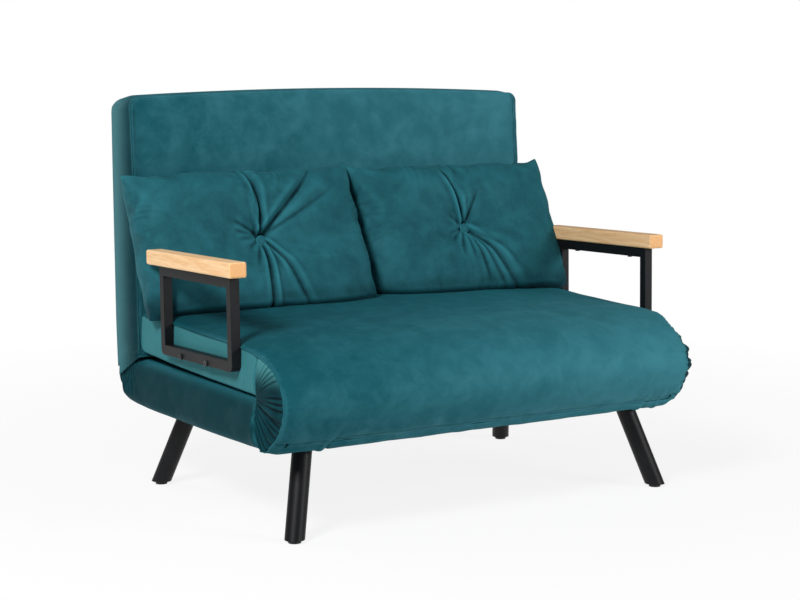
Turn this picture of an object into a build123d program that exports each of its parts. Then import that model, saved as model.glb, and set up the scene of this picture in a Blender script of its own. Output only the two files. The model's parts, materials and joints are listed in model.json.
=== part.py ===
"""Fold-out futon sofa bed: three hinged mattress sections on steel frames.

The seat section lies on the base section and carries the two armrests.
A short link section inside the front roll joins them, so the seat turns
forward through half a turn and becomes the foot of the bed. The back
turns down behind the base, and a U-shaped leg swings out to carry it.

Millimetres. +X runs along the width, to the right as seen from the front,
+Y is to the rear and +Z is up. The origin is on the floor, at the middle of
the object's footprint. "Left" and "right" are as seen from the front.
"""

import os
from math import cos, radians, sin, sqrt, tan

from build123d import *

os.makedirs("parts", exist_ok=True)

# %% Driving dimensions

PAD_HALF = 474.0          # half width of the upholstered sections
FRAME_HALF = 446.0        # outer half width of the base and seat frames

# Hinge lines, as (y, z)
FRONT_LOW = (-312.0, 214.0)    # base to link
FRONT_HIGH = (-312.0, 308.0)   # link to seat
REAR = (305.0, 220.0)          # base to back
PILLOW_LINE = (241.0, 300.0)   # seat to pillows

# Sections, as heights and depths
BASE_BOTTOM = 170.0
BASE_TOP = 264.0
SEAT_BOTTOM = 268.0
SEAT_TOP_SIDE = 353.0
SEAT_TOP_MIDDLE = 370.0
SECTION_FRONT = -244.0    # front ends of the base and seat pads
SEAT_REAR_LOW = 243.0     # the free end of the seat, at its lower edge
SEAT_REAR_HIGH = 234.0    # and at its upper edge
CORNER_R = 50.0           # the base pad's rear end, rounded about the rear hinge
EDGE_R = 12.0             # rounded front edge of the base pad
SKIRT_SLOT_DEPTH = 94.0   # how far the front slots run into the base pad
SKIRT_SLOT_TOP = 240.0
REAR_SLOT_Y = 140.0       # where the slots at the rear corner begin

# Front roll: half an ellipse with a flat inner face
ROLL_CENTRE = (-227.0, 264.0)
ROLL_DEPTH = 138.0
ROLL_RISE = 93.0
ROLL_INNER_Y = -268.0
ROLL_LOW_R = 18.0
ROLL_HIGH_R = 10.0

# Steel tube of the frames
BASE_TUBE = 25.0
SEAT_TUBE = 20.0
BACK_TUBE = 20.0
WALL = 1.5
STRAP_T = 1.6             # elastic webbing
STRAP_W = 50.0
STRAP_PITCH = 95.0
STRAPS = 9
STRAP_INSET = 8.0         # how much shorter a strap is than its frame
FIT = 0.3                 # clearance between a pad and what it lies on

BASE_FRAME_BOTTOM = 172.0
BASE_FRAME_FRONT = -246.0
BASE_FRAME_REAR = 258.0
SEAT_FRAME_BOTTOM = 298.0
SEAT_FRAME_FRONT = -236.0
SEAT_FRAME_REAR = 236.0

# Hinge plates stand in two layers outside the frames
PLATE_T = 4.0
INNER_LAYER = FRAME_HALF                      # base and seat arms
OUTER_LAYER = INNER_LAYER + PLATE_T + 0.4     # link plates and back arms
EYE_R = 14.0              # rounded ends of the hinge plates
PIN_R = 5.0
PIN_HEAD_R = 8.0
PIN_HEAD_T = 3.2
HINGE_HEAD_R = 7.0        # heads of the bolts that hold the hinge arms
RUNNING = 0.05            # radial clearance of a turning pin
SLOT_IN = 441.0           # slots in the pads that the hinge plates turn in
SLOT_OUT = 460.0

# Back
BACK_HALF = 479.0
BACK_FRAME_HALF = OUTER_LAYER
BACK_LEAN = 2.0           # degrees, of the back frame
BACK_FOOT = (306.0, 240.0)
BACK_FRAME_LOW = 36.5     # along the frame, from its foot
BACK_FRAME_HIGH = 530.0
BACK_LEG_BAR = 460.0
BACK_PAD_LOW = 276.0
BACK_TOP_SIDE = 796.0
BACK_TOP_MIDDLE = 810.0

# Fold-out rear leg
LEG_PIVOT = (351.0, 700.0)
LEG_DROP = 189.5          # pivot to crossbar
LEG_HALF = 270.0
LEG_TUBE_R = 9.5
LEG_BEND_R = 45.0
SLEEVE_R = 12.5
BAY_HALF = 300.0          # the bay in the rear pad that the folded leg lies in
BAY_LOW = 480.0
BAY_HIGH = 724.0
BAY_FLOOR = 337.0

# Sofa legs: top and foot of each axis, as (x, y)
LEG_TOP_Z = 168.0
LEG_R = 19.0
LEG_WALL = 1.8
FOOT_H = 6.0
FRONT_LEG = ((379.0, -258.0), (426.0, -310.0))
REAR_LEG = ((389.0, 194.0), (432.0, 257.0))
STUD_R = 4.0
STUD_LENGTH = 10.0
GLIDE_R = 12.0
GLIDE_STEM = 24.0
NUT_H = 5.5
NUT_AF = 13.0

# Armrests
ARM_IN = 477.0            # inner face of the steel loop
ARM_T = 19.0
ARM_FRONT = -205.0
ARM_BOTTOM = 306.0
ARM_PITCH = 1.26          # degrees, rear end lower
LOOP_LENGTH = 307.0
LOOP_HEIGHT = 176.0
POST_W = 18.0
BAR_H = 20.0
LOOP_R = 13.0
CAP_LENGTH = 364.0
CAP_W = 36.0
CAP_H = 29.0
CAP_OVERHANG = 22.0
CAP_ROUND = 4.0
CAP_SHIFT = 3.5           # the cap stands further out than the loop
ARM_BOLT_Y = (-98.0, 11.0)
ARM_BOLT_R = 3.5
BOLT_HEAD_R = 6.0
BOLT_HEAD_T = 3.6
HEX_KEY_R = 2.3
SPACER_R = 8.0

# Pillows
PILLOW_W = 500.0
PILLOW_H = 296.0
PILLOW_HALF_T = 58.0
PILLOW_EDGE = 3.0         # half thickness at the seam
PILLOW_X = 252.0
PILLOW_FOOT = (122.0, 373.0)
PILLOW_TILT = 21.0
BUTTON_R = 13.0
BUTTON_T = 7.0

LEFT_RIGHT = (("left", -1), ("right", 1))


# %% Helpers


def save(block, name):
    """Label a finished sub-part and write its STEP file."""
    block.part.label = name
    export_step(block.part, f"parts/{name}.step")


def back_middle(z):
    """Depth of the back frame's middle plane at height z."""
    return BACK_FOOT[0] + (z - BACK_FOOT[1]) * tan(radians(BACK_LEAN))


def grid_sketch(plane, half, low, high, bars, width):
    """A rectangle of tube centre lines with cross bars, drawn at one width."""
    with BuildSketch(plane) as grid:
        for y in (low, high) + tuple(bars):
            with Locations((0, y)):
                Rectangle(2 * half + width, width)
        with Locations((-half, (low + high) / 2), (half, (low + high) / 2)):
            Rectangle(width, high - low + width)
    return grid.sketch


def side_hole(radius, y, z, x_from, x_to):
    """A cutter for a hole along X, for both sides of the object."""
    with BuildPart(mode=Mode.PRIVATE) as cutter:
        with BuildSketch(Plane.YZ.offset(x_from)):
            with Locations((y, z)):
                Circle(radius)
        extrude(amount=x_to - x_from)
        mirror(about=Plane.YZ)
    return cutter.part


def slot_box(y_low, y_high, z_low, z_high):
    """Cutters for the slots that the hinge plates turn in, one each side."""
    with BuildPart(mode=Mode.PRIVATE) as cutter:
        with Locations(((SLOT_IN + SLOT_OUT) / 2, (y_low + y_high) / 2, (z_low + z_high) / 2)):
            Box(SLOT_OUT - SLOT_IN, y_high - y_low, z_high - z_low)
        mirror(about=Plane.YZ)
    return cutter.part


# Planes of the leaning parts
lean = radians(BACK_LEAN)
BACK_PLANE = Plane(
    origin=(0, *BACK_FOOT), x_dir=(1, 0, 0), z_dir=(0, -cos(lean), sin(lean))
)
tilt = radians(PILLOW_TILT)
pitch = radians(ARM_PITCH)


def arm_plane(x):
    """The armrest's side plane at x: along the rest, then up."""
    return Plane(origin=(x, ARM_FRONT, ARM_BOTTOM), x_dir=(0, cos(pitch), -sin(pitch)), z_dir=(1, 0, 0))


def arm_point(along, up):
    """A point of the armrest's plane, as (y, z)."""
    y = ARM_FRONT + along * cos(pitch) + up * sin(pitch)
    z = ARM_BOTTOM - along * sin(pitch) + up * cos(pitch)
    return y, z


# %% Base section: steel frame, webbing, pad and underside cloth

base_half = FRAME_HALF - BASE_TUBE / 2
base_low = BASE_FRAME_FRONT + BASE_TUBE / 2
base_high = BASE_FRAME_REAR - BASE_TUBE / 2
base_bars = ((base_low + base_high) / 2,)
BASE_ARM_BOLTS = ((-212.0, 184.5), (-176.0, 184.5), (160.0, 184.5), (196.0, 184.5))

with BuildPart() as base_frame:
    floor_plane = Plane.XY.offset(BASE_FRAME_BOTTOM)
    extrude(grid_sketch(floor_plane, base_half, base_low, base_high, base_bars, BASE_TUBE), BASE_TUBE)
    bore_plane = Plane.XY.offset(BASE_FRAME_BOTTOM + WALL)
    bore = grid_sketch(bore_plane, base_half, base_low, base_high, base_bars, BASE_TUBE - 2 * WALL)
    extrude(bore, BASE_TUBE - 2 * WALL, mode=Mode.SUBTRACT)
    for bolt_y, bolt_z in BASE_ARM_BOLTS:
        add(side_hole(STUD_R, bolt_y, bolt_z, FRAME_HALF - BASE_TUBE, FRAME_HALF), mode=Mode.SUBTRACT)
save(base_frame, "base_frame")

base_frame_top = BASE_FRAME_BOTTOM + BASE_TUBE
base_middle_y = (BASE_FRAME_FRONT + BASE_FRAME_REAR) / 2

with BuildPart() as base_webbing:
    with BuildSketch(Plane.XY.offset(base_frame_top)):
        with Locations((0, base_middle_y)):
            with GridLocations(STRAP_PITCH, 0, STRAPS, 1):
                Rectangle(STRAP_W, BASE_FRAME_REAR - BASE_FRAME_FRONT - STRAP_INSET)
    extrude(amount=STRAP_T)
save(base_webbing, "base_webbing")

# The rounded rear end meets the flat top where its circle crosses the top's height
corner_start = REAR[0] - sqrt(CORNER_R**2 - (BASE_TOP - REAR[1]) ** 2)

with BuildPart() as base_pad:
    with BuildSketch(Plane.YZ.offset(-PAD_HALF)):
        with BuildLine():
            Line((corner_start, BASE_TOP), (SECTION_FRONT + EDGE_R, BASE_TOP))
            RadiusArc((SECTION_FRONT + EDGE_R, BASE_TOP), (SECTION_FRONT, BASE_TOP - EDGE_R), -EDGE_R)
            Polyline(
                (SECTION_FRONT, BASE_TOP - EDGE_R),
                (SECTION_FRONT, BASE_BOTTOM),
                (REAR[0], REAR[1] - CORNER_R),
            )
            ThreePointArc(
                (REAR[0], REAR[1] - CORNER_R),
                (REAR[0] + CORNER_R, REAR[1]),
                (corner_start, BASE_TOP),
            )
        make_face()
    extrude(amount=2 * PAD_HALF)
    pocket_top = base_frame_top + STRAP_T + FIT
    pocket_y = (SECTION_FRONT - 6, BASE_FRAME_REAR + 1)
    with Locations((0, sum(pocket_y) / 2, (BASE_BOTTOM - 2 + pocket_top) / 2)):
        Box(
            2 * FRAME_HALF + 1,
            pocket_y[1] - pocket_y[0],
            pocket_top - BASE_BOTTOM + 2,
            mode=Mode.SUBTRACT,
        )
    front_slot_end = SECTION_FRONT + SKIRT_SLOT_DEPTH
    add(
        slot_box(SECTION_FRONT - 1, front_slot_end, BASE_BOTTOM - 1, SKIRT_SLOT_TOP),
        mode=Mode.SUBTRACT,
    )
    corner_end = REAR[0] + CORNER_R + 1
    add(
        slot_box(REAR_SLOT_Y, corner_end, BASE_BOTTOM - 1, REAR[1] + CORNER_R + 1),
        mode=Mode.SUBTRACT,
    )
save(base_pad, "base_pad")

# %% Leg plates and legs

PLATE_CENTRES = ((393.0, -250.0), (398.0, 197.0))
PLATE_SIZE = (106.0, 74.0)
CORNERS = (
    ("front_left", -1, FRONT_LEG),
    ("front_right", 1, FRONT_LEG),
    ("rear_left", -1, REAR_LEG),
    ("rear_right", 1, REAR_LEG),
)

with BuildPart() as leg_plates:
    with BuildSketch(Plane.XY.offset(LEG_TOP_Z)):
        for (plate_x, plate_y), (top, _) in zip(PLATE_CENTRES, (FRONT_LEG, REAR_LEG)):
            with Locations((plate_x, plate_y)):
                RectangleRounded(*PLATE_SIZE, 8)
            with Locations(top):
                Circle(STUD_R + 0.2, mode=Mode.SUBTRACT)
    extrude(amount=PLATE_T)
    mirror(about=Plane.YZ)
save(leg_plates, "leg_plates")

for corner, side, (top, foot) in CORNERS:
    top_point = Vector(side * top[0], top[1], LEG_TOP_Z)
    foot_point = Vector(side * foot[0], foot[1], 0)
    axis = (top_point - foot_point).normalized()
    length = (top_point - foot_point).length
    leg_plane = Plane(origin=foot_point, z_dir=axis)
    with BuildPart() as sofa_leg:
        with BuildSketch(leg_plane.offset(-20)):
            Circle(LEG_R)
        extrude(amount=length + 40)
        split(bisect_by=Plane.XY.offset(FOOT_H), keep=Keep.TOP)
        split(bisect_by=Plane.XY.offset(LEG_TOP_Z), keep=Keep.BOTTOM)
        with BuildSketch(leg_plane.offset(-20)):
            Circle(LEG_R - LEG_WALL)
        extrude(amount=length + 10, mode=Mode.SUBTRACT)
        with BuildSketch(Plane.XY.offset(LEG_TOP_Z)):
            with Locations((side * top[0], top[1])):
                Circle(STUD_R)
        extrude(amount=STUD_LENGTH)
    save(sofa_leg, f"{corner}_leg")

with BuildPart() as leg_glides:
    for corner, side, (top, foot) in CORNERS:
        top_point = Vector(side * top[0], top[1], LEG_TOP_Z)
        foot_point = Vector(side * foot[0], foot[1], 0)
        axis = (top_point - foot_point).normalized()
        with BuildPart(mode=Mode.PRIVATE) as glide:
            with BuildSketch(Plane(origin=foot_point, z_dir=axis).offset(-10)):
                Circle(LEG_R - LEG_WALL - 0.1)
            extrude(amount=GLIDE_STEM + 10)
            split(bisect_by=Plane.XY.offset(FOOT_H), keep=Keep.TOP)
            with BuildSketch(Plane.XY):
                with Locations((foot_point.X + axis.X * FOOT_H, foot_point.Y + axis.Y * FOOT_H)):
                    Circle(GLIDE_R)
            extrude(amount=FOOT_H)
        add(glide.part)
save(leg_glides, "leg_glides")

with BuildPart() as leg_nuts:
    with BuildSketch(Plane.XY.offset(LEG_TOP_Z + PLATE_T)):
        with Locations(FRONT_LEG[0], REAR_LEG[0]):
            RegularPolygon(NUT_AF / 2, 6, major_radius=False)
            Circle(STUD_R, mode=Mode.SUBTRACT)
    extrude(amount=NUT_H)
    mirror(about=Plane.YZ)
save(leg_nuts, "leg_nuts")

CLOTH_T = 1.4
CLOTH_INSET = 2.0

with BuildPart() as base_dust_cover:
    cloth_length = BASE_FRAME_REAR - BASE_FRAME_FRONT - 2 * CLOTH_INSET
    with Locations((0, base_middle_y, BASE_FRAME_BOTTOM - CLOTH_T / 2 - 0.2)):
        Box(2 * (FRAME_HALF - CLOTH_INSET), cloth_length, CLOTH_T)
    for plate_x, plate_y in PLATE_CENTRES:
        for side in (-1, 1):
            with Locations((side * (plate_x + 20), plate_y, BASE_FRAME_BOTTOM)):
                Box(PLATE_SIZE[0] + 44, PLATE_SIZE[1] + 4, 10, mode=Mode.SUBTRACT)
save(base_dust_cover, "base_dust_cover")

# %% Front hinges: base arms, link plates, seat arms and their pins


def arm_with_band(block_plane, eye, eye_r, band):
    """A hinge arm in one layer: a round eye, hulled to the start of its straight band."""
    (y_from, y_to), (z_low, z_high) = band
    near = y_from if abs(y_from - eye[0]) < abs(y_to - eye[0]) else y_to
    with BuildSketch(block_plane) as arm:
        with Locations(eye):
            Circle(eye_r)
        with Locations((near, (z_low + z_high) / 2)):
            Circle((z_high - z_low) / 2)
        make_hull()
        with Locations(((y_from + y_to) / 2, (z_low + z_high) / 2)):
            Rectangle(abs(y_to - y_from), z_high - z_low)
        with Locations(eye):
            Circle(PIN_R, mode=Mode.SUBTRACT)
    return arm.sketch


inner_plane = Plane.YZ.offset(INNER_LAYER)
outer_plane = Plane.YZ.offset(OUTER_LAYER)

with BuildPart() as front_base_arms:
    extrude(arm_with_band(inner_plane, FRONT_LOW, EYE_R, ((-232, -160), (175, 195))), PLATE_T)
    mirror(about=Plane.YZ)
    for bolt_y, bolt_z in BASE_ARM_BOLTS[:2]:
        add(side_hole(STUD_R, bolt_y, bolt_z, INNER_LAYER, INNER_LAYER + PLATE_T), mode=Mode.SUBTRACT)
save(front_base_arms, "front_base_arms")

with BuildPart() as front_link_plates:
    with BuildSketch(outer_plane):
        with Locations(FRONT_LOW, FRONT_HIGH):
            Circle(EYE_R)
        make_hull()
        with Locations(FRONT_LOW):
            Circle(PIN_R + RUNNING, mode=Mode.SUBTRACT)
        with Locations(FRONT_HIGH):
            Circle(PIN_R, mode=Mode.SUBTRACT)
    extrude(amount=PLATE_T)
    mirror(about=Plane.YZ)
save(front_link_plates, "front_link_plates")

with BuildPart() as front_seat_arms:
    seat_z = (SEAT_FRAME_BOTTOM, SEAT_FRAME_BOTTOM + SEAT_TUBE)
    extrude(arm_with_band(inner_plane, FRONT_HIGH, EYE_R, ((-254, -150), seat_z)), PLATE_T)
    with BuildSketch(inner_plane):
        with Locations(FRONT_HIGH):
            Circle(PIN_R + RUNNING)
    extrude(amount=PLATE_T, mode=Mode.SUBTRACT)
    mirror(about=Plane.YZ)
    SEAT_ARM_BOLTS = ((-204.0, 308.0), (-168.0, 308.0))
    for bolt_y, bolt_z in SEAT_ARM_BOLTS:
        add(side_hole(STUD_R, bolt_y, bolt_z, INNER_LAYER, INNER_LAYER + PLATE_T), mode=Mode.SUBTRACT)
save(front_seat_arms, "front_seat_arms")


def hinge_pins(eye, fixed_inside):
    """A pair of headed pins through both layers; one head lies against the fixed plate."""
    inner_gap = 0.0 if fixed_inside else 0.2
    outer_gap = 0.2 if fixed_inside else 0.0
    head_in = INNER_LAYER - inner_gap
    head_out = OUTER_LAYER + PLATE_T + outer_gap
    with BuildPart() as pins:
        with BuildSketch(Plane.YZ.offset(head_in - PIN_HEAD_T)):
            with Locations(eye):
                Circle(PIN_HEAD_R)
        extrude(amount=PIN_HEAD_T)
        with BuildSketch(Plane.YZ.offset(head_in)):
            with Locations(eye):
                Circle(PIN_R)
        extrude(amount=head_out - head_in)
        with BuildSketch(Plane.YZ.offset(head_out)):
            with Locations(eye):
                Circle(PIN_HEAD_R)
        extrude(amount=PIN_HEAD_T)
        mirror(about=Plane.YZ)
    return pins


save(hinge_pins(FRONT_LOW, True), "front_lower_pins")
save(hinge_pins(FRONT_HIGH, False), "front_upper_pins")
save(hinge_pins(REAR, True), "rear_hinge_pins")

# %% Link section inside the front roll

LINK_BARS = ((-330.0, 261.0), (-298.0, 261.0))
LINK_BAR_R = 8.0

with BuildPart() as link_crossbars:
    with BuildSketch(Plane.YZ.offset(-OUTER_LAYER)):
        with Locations(*LINK_BARS):
            Circle(LINK_BAR_R)
            Circle(LINK_BAR_R - WALL, mode=Mode.SUBTRACT)
    extrude(amount=2 * OUTER_LAYER)
save(link_crossbars, "link_crossbars")

with BuildPart() as link_pad:
    with BuildSketch(Plane.YZ.offset(-PAD_HALF)) as roll_section:
        with Locations(ROLL_CENTRE):
            Ellipse(ROLL_DEPTH, ROLL_RISE)
        with Locations((ROLL_INNER_Y + 200, ROLL_CENTRE[1])):
            Rectangle(400, 400, mode=Mode.SUBTRACT)
        inner_corners = roll_section.vertices().sort_by(Axis.X)[-2:].sort_by(Axis.Y)
        fillet(inner_corners[0], ROLL_LOW_R)
        high_corner = roll_section.vertices().sort_by(Axis.Y)[-1]
        fillet(high_corner, ROLL_HIGH_R)
    extrude(amount=2 * PAD_HALF)
    for bar_y, bar_z in LINK_BARS:
        with BuildSketch(Plane.YZ.offset(-SLOT_IN - 1)):
            with Locations((bar_y, bar_z)):
                Circle(LINK_BAR_R + FIT)
        extrude(amount=2 * (SLOT_IN + 1), mode=Mode.SUBTRACT)
    add(slot_box(-340, ROLL_INNER_Y + 1, 160, 370), mode=Mode.SUBTRACT)
save(link_pad, "link_pad")

# %% Seat section

seat_half = FRAME_HALF - SEAT_TUBE / 2
seat_low = SEAT_FRAME_FRONT + SEAT_TUBE / 2
seat_high = SEAT_FRAME_REAR - SEAT_TUBE / 2
seat_bars = ((seat_low + seat_high) / 2,)
ARM_BOLT_POINTS = tuple((bolt_y, 308.5 - (bolt_y + 98.0) * tan(pitch)) for bolt_y in ARM_BOLT_Y)

with BuildPart() as seat_frame:
    seat_plane = Plane.XY.offset(SEAT_FRAME_BOTTOM)
    extrude(grid_sketch(seat_plane, seat_half, seat_low, seat_high, seat_bars, SEAT_TUBE), SEAT_TUBE)
    bore_plane = Plane.XY.offset(SEAT_FRAME_BOTTOM + WALL)
    bore = grid_sketch(bore_plane, seat_half, seat_low, seat_high, seat_bars, SEAT_TUBE - 2 * WALL)
    extrude(bore, SEAT_TUBE - 2 * WALL, mode=Mode.SUBTRACT)
    for bolt_y, bolt_z in ARM_BOLT_POINTS:
        bolt_hole = side_hole(ARM_BOLT_R, bolt_y, bolt_z, FRAME_HALF - SEAT_TUBE, FRAME_HALF)
        add(bolt_hole, mode=Mode.SUBTRACT)
    for bolt_y, bolt_z in SEAT_ARM_BOLTS:
        add(side_hole(STUD_R, bolt_y, bolt_z, FRAME_HALF - SEAT_TUBE, FRAME_HALF), mode=Mode.SUBTRACT)
save(seat_frame, "seat_frame")

seat_frame_top = SEAT_FRAME_BOTTOM + SEAT_TUBE
with BuildPart() as seat_webbing:
    with BuildSketch(Plane.XY.offset(seat_frame_top)):
        with GridLocations(STRAP_PITCH, 0, STRAPS, 1):
            Rectangle(STRAP_W, SEAT_FRAME_REAR - SEAT_FRAME_FRONT - STRAP_INSET)
    extrude(amount=STRAP_T)
save(seat_webbing, "seat_webbing")

with BuildPart() as seat_upper_pad:
    upper_floor = seat_frame_top + STRAP_T + FIT
    with BuildSketch(Plane.XZ.offset(-SEAT_REAR_LOW)) as crown_section:
        with BuildLine():
            ThreePointArc((-PAD_HALF, SEAT_TOP_SIDE), (0, SEAT_TOP_MIDDLE), (PAD_HALF, SEAT_TOP_SIDE))
            Polyline(
                (PAD_HALF, SEAT_TOP_SIDE),
                (PAD_HALF, upper_floor),
                (-PAD_HALF, upper_floor),
                (-PAD_HALF, SEAT_TOP_SIDE),
            )
        make_face()
        fillet(crown_section.vertices().sort_by(Axis.Y)[-2:], 7)
    extrude(amount=SEAT_REAR_LOW - SECTION_FRONT)
    with BuildSketch(Plane.YZ.offset(-PAD_HALF - 1)):
        with BuildLine():
            Polyline(
                (SEAT_REAR_LOW, SEAT_BOTTOM),
                (SEAT_REAR_HIGH, SEAT_TOP_SIDE),
                (SEAT_REAR_HIGH - 8, SEAT_TOP_MIDDLE + 8),
                (SEAT_REAR_LOW + 30, SEAT_TOP_MIDDLE + 8),
                (SEAT_REAR_LOW + 30, SEAT_BOTTOM),
                close=True,
            )
        make_face()
    extrude(amount=2 * PAD_HALF + 2, mode=Mode.SUBTRACT)
save(seat_upper_pad, "seat_upper_pad")

with BuildPart() as seat_lower_pad:
    lower_height = SEAT_FRAME_BOTTOM - FIT - SEAT_BOTTOM
    with BuildSketch(Plane.XY.offset(SEAT_BOTTOM)):
        with Locations((0, (SECTION_FRONT + SEAT_REAR_LOW - 3) / 2)):
            RectangleRounded(2 * PAD_HALF, SEAT_REAR_LOW - 3 - SECTION_FRONT, 6)
    extrude(amount=lower_height)
    fillet(seat_lower_pad.faces().sort_by(Axis.Z)[0].edges(), 6)
save(seat_lower_pad, "seat_lower_pad")

# %% Armrests: steel loops, wooden caps and their fixings

SCREW_ALONG = (62.0, 245.0)
SCREW_R = 2.2
SCREW_HEAD_R = 5.0
SCREW_HEAD_T = 2.6

for side_name, side in LEFT_RIGHT:
    x_low = ARM_IN if side > 0 else -ARM_IN - ARM_T
    with BuildPart() as arm_loop:
        with BuildSketch(arm_plane(x_low)) as loop_face:
            with Locations((LOOP_LENGTH / 2, LOOP_HEIGHT / 2)):
                Rectangle(LOOP_LENGTH, LOOP_HEIGHT)
            fillet(loop_face.vertices().sort_by(Axis.Y)[:2], LOOP_R)
            with Locations((LOOP_LENGTH / 2, LOOP_HEIGHT / 2)):
                Rectangle(LOOP_LENGTH - 2 * POST_W, LOOP_HEIGHT - 2 * BAR_H, mode=Mode.SUBTRACT)
        extrude(amount=ARM_T)
        fillet(arm_loop.edges().filter_by(GeomType.LINE).filter_by(Axis.X, reverse=True), 1.2)
        for bolt_y, bolt_z in ARM_BOLT_POINTS:
            add(side_hole(ARM_BOLT_R, bolt_y, bolt_z, ARM_IN - 1, ARM_IN + ARM_T + 1), mode=Mode.SUBTRACT)
        for along in SCREW_ALONG:
            screw_y, screw_z = arm_point(along, LOOP_HEIGHT)
            up_axis = (0, sin(pitch), cos(pitch))
            with BuildSketch(Plane(origin=(x_low + ARM_T / 2, screw_y, screw_z), z_dir=up_axis)):
                Circle(SCREW_R)
            extrude(amount=-BAR_H - 1, mode=Mode.SUBTRACT)
    save(arm_loop, f"{side_name}_arm_loop")

    cap_x = x_low + ARM_T / 2 - CAP_W / 2 + side * CAP_SHIFT
    with BuildPart() as arm_cap:
        with BuildSketch(arm_plane(cap_x)):
            with Locations((CAP_LENGTH / 2 - CAP_OVERHANG, LOOP_HEIGHT + CAP_H / 2)):
                Rectangle(CAP_LENGTH, CAP_H)
        extrude(amount=CAP_W)
        fillet(arm_cap.edges(), CAP_ROUND)
        for along in SCREW_ALONG:
            screw_y, screw_z = arm_point(along, LOOP_HEIGHT)
            with BuildSketch(Plane(origin=(x_low + ARM_T / 2, screw_y, screw_z), z_dir=up_axis)):
                Circle(SCREW_R)
            extrude(amount=17, mode=Mode.SUBTRACT)
    save(arm_cap, f"{side_name}_arm_cap")

with BuildPart() as arm_cap_screws:
    for along in SCREW_ALONG:
        screw_y, screw_z = arm_point(along, LOOP_HEIGHT - BAR_H)
        screw_foot = (ARM_IN + ARM_T / 2, screw_y, screw_z)
        screw_plane = Plane(origin=screw_foot, z_dir=(0, sin(pitch), cos(pitch)))
        with BuildSketch(screw_plane.offset(-SCREW_HEAD_T)):
            Circle(SCREW_HEAD_R)
        extrude(amount=SCREW_HEAD_T)
        with BuildSketch(screw_plane):
            Circle(SCREW_R)
        extrude(amount=BAR_H + 16)
    mirror(about=Plane.YZ)
save(arm_cap_screws, "arm_cap_screws")

with BuildPart() as arm_bolts:
    bolt_face = ARM_IN + ARM_T
    for bolt_y, bolt_z in ARM_BOLT_POINTS:
        with BuildSketch(Plane.YZ.offset(FRAME_HALF - SEAT_TUBE)):
            with Locations((bolt_y, bolt_z)):
                Circle(ARM_BOLT_R)
        extrude(amount=bolt_face - FRAME_HALF + SEAT_TUBE)
        with BuildSketch(Plane.YZ.offset(bolt_face)):
            with Locations((bolt_y, bolt_z)):
                Circle(BOLT_HEAD_R)
        extrude(amount=BOLT_HEAD_T)
    fillet(arm_bolts.faces().sort_by(Axis.X)[-2:].edges(), 1.6)
    for bolt_y, bolt_z in ARM_BOLT_POINTS:
        with BuildSketch(Plane.YZ.offset(bolt_face + BOLT_HEAD_T)):
            with Locations((bolt_y, bolt_z)):
                RegularPolygon(HEX_KEY_R, 6)
        extrude(amount=-2.4, mode=Mode.SUBTRACT)
    mirror(about=Plane.YZ)
save(arm_bolts, "arm_bolts")

with BuildPart() as arm_spacers:
    with BuildSketch(Plane.YZ.offset(FRAME_HALF)):
        with Locations(*ARM_BOLT_POINTS):
            Circle(SPACER_R)
            Circle(ARM_BOLT_R, mode=Mode.SUBTRACT)
    extrude(amount=ARM_IN - FRAME_HALF)
    mirror(about=Plane.YZ)
save(arm_spacers, "arm_spacers")

# %% Hinge bolts


def arm_bolt_set(points, tube):
    """Button-head bolts that hold hinge arms to a frame's side tubes."""
    with BuildPart() as bolts:
        for bolt_y, bolt_z in points:
            with BuildSketch(Plane.YZ.offset(FRAME_HALF - tube)):
                with Locations((bolt_y, bolt_z)):
                    Circle(STUD_R)
            extrude(amount=tube + PLATE_T)
            with BuildSketch(Plane.YZ.offset(INNER_LAYER + PLATE_T)):
                with Locations((bolt_y, bolt_z)):
                    Circle(HINGE_HEAD_R)
            extrude(amount=PLATE_T)
        mirror(about=Plane.YZ)
    return bolts


save(arm_bolt_set(BASE_ARM_BOLTS, BASE_TUBE), "base_hinge_bolts")
save(arm_bolt_set(SEAT_ARM_BOLTS, SEAT_TUBE), "seat_hinge_bolts")

# %% Rear hinges: base arms with ratchet notches, back arms and pawls

RATCHET_R = 20.0
NOTCH_R = 2.6
NOTCH_ANGLES = (90.0, 68.0, 46.0, 25.0, 3.5)
PAWL_HOLD = 23.6

with BuildPart() as rear_base_arms:
    extrude(arm_with_band(inner_plane, REAR, RATCHET_R, ((150, 240), (175, 195))), PLATE_T)
    with BuildSketch(inner_plane):
        with Locations(REAR):
            for angle in NOTCH_ANGLES:
                with PolarLocations(RATCHET_R + 1, 1, start_angle=angle):
                    Circle(NOTCH_R)
    extrude(amount=PLATE_T, mode=Mode.SUBTRACT)
    mirror(about=Plane.YZ)
    for bolt_y, bolt_z in BASE_ARM_BOLTS[2:]:
        add(side_hole(STUD_R, bolt_y, bolt_z, INNER_LAYER, INNER_LAYER + PLATE_T), mode=Mode.SUBTRACT)
save(rear_base_arms, "rear_base_arms")

BACK_ARM_TOP = 350.0
with BuildPart() as rear_back_arms:
    with BuildSketch(outer_plane):
        with Locations(REAR):
            Circle(EYE_R)
        with Locations((back_middle(262), 262)):
            Circle(9.5)
        make_hull()
        with BuildLine():
            Polyline(
                (back_middle(262) - 9.5, 262),
                (back_middle(262) + 9.5, 262),
                (back_middle(BACK_ARM_TOP) + 9.5, BACK_ARM_TOP),
                (back_middle(BACK_ARM_TOP) - 9.5, BACK_ARM_TOP),
                close=True,
            )
        make_face()
        with Locations(REAR):
            Circle(PIN_R + RUNNING, mode=Mode.SUBTRACT)
    extrude(amount=PLATE_T)
    mirror(about=Plane.YZ)
    BACK_ARM_BOLTS = tuple((back_middle(bolt_z), bolt_z) for bolt_z in (295.0, 330.0))
    for bolt_y, bolt_z in BACK_ARM_BOLTS:
        add(side_hole(STUD_R, bolt_y, bolt_z, OUTER_LAYER, OUTER_LAYER + PLATE_T), mode=Mode.SUBTRACT)
save(rear_back_arms, "rear_back_arms")

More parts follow.
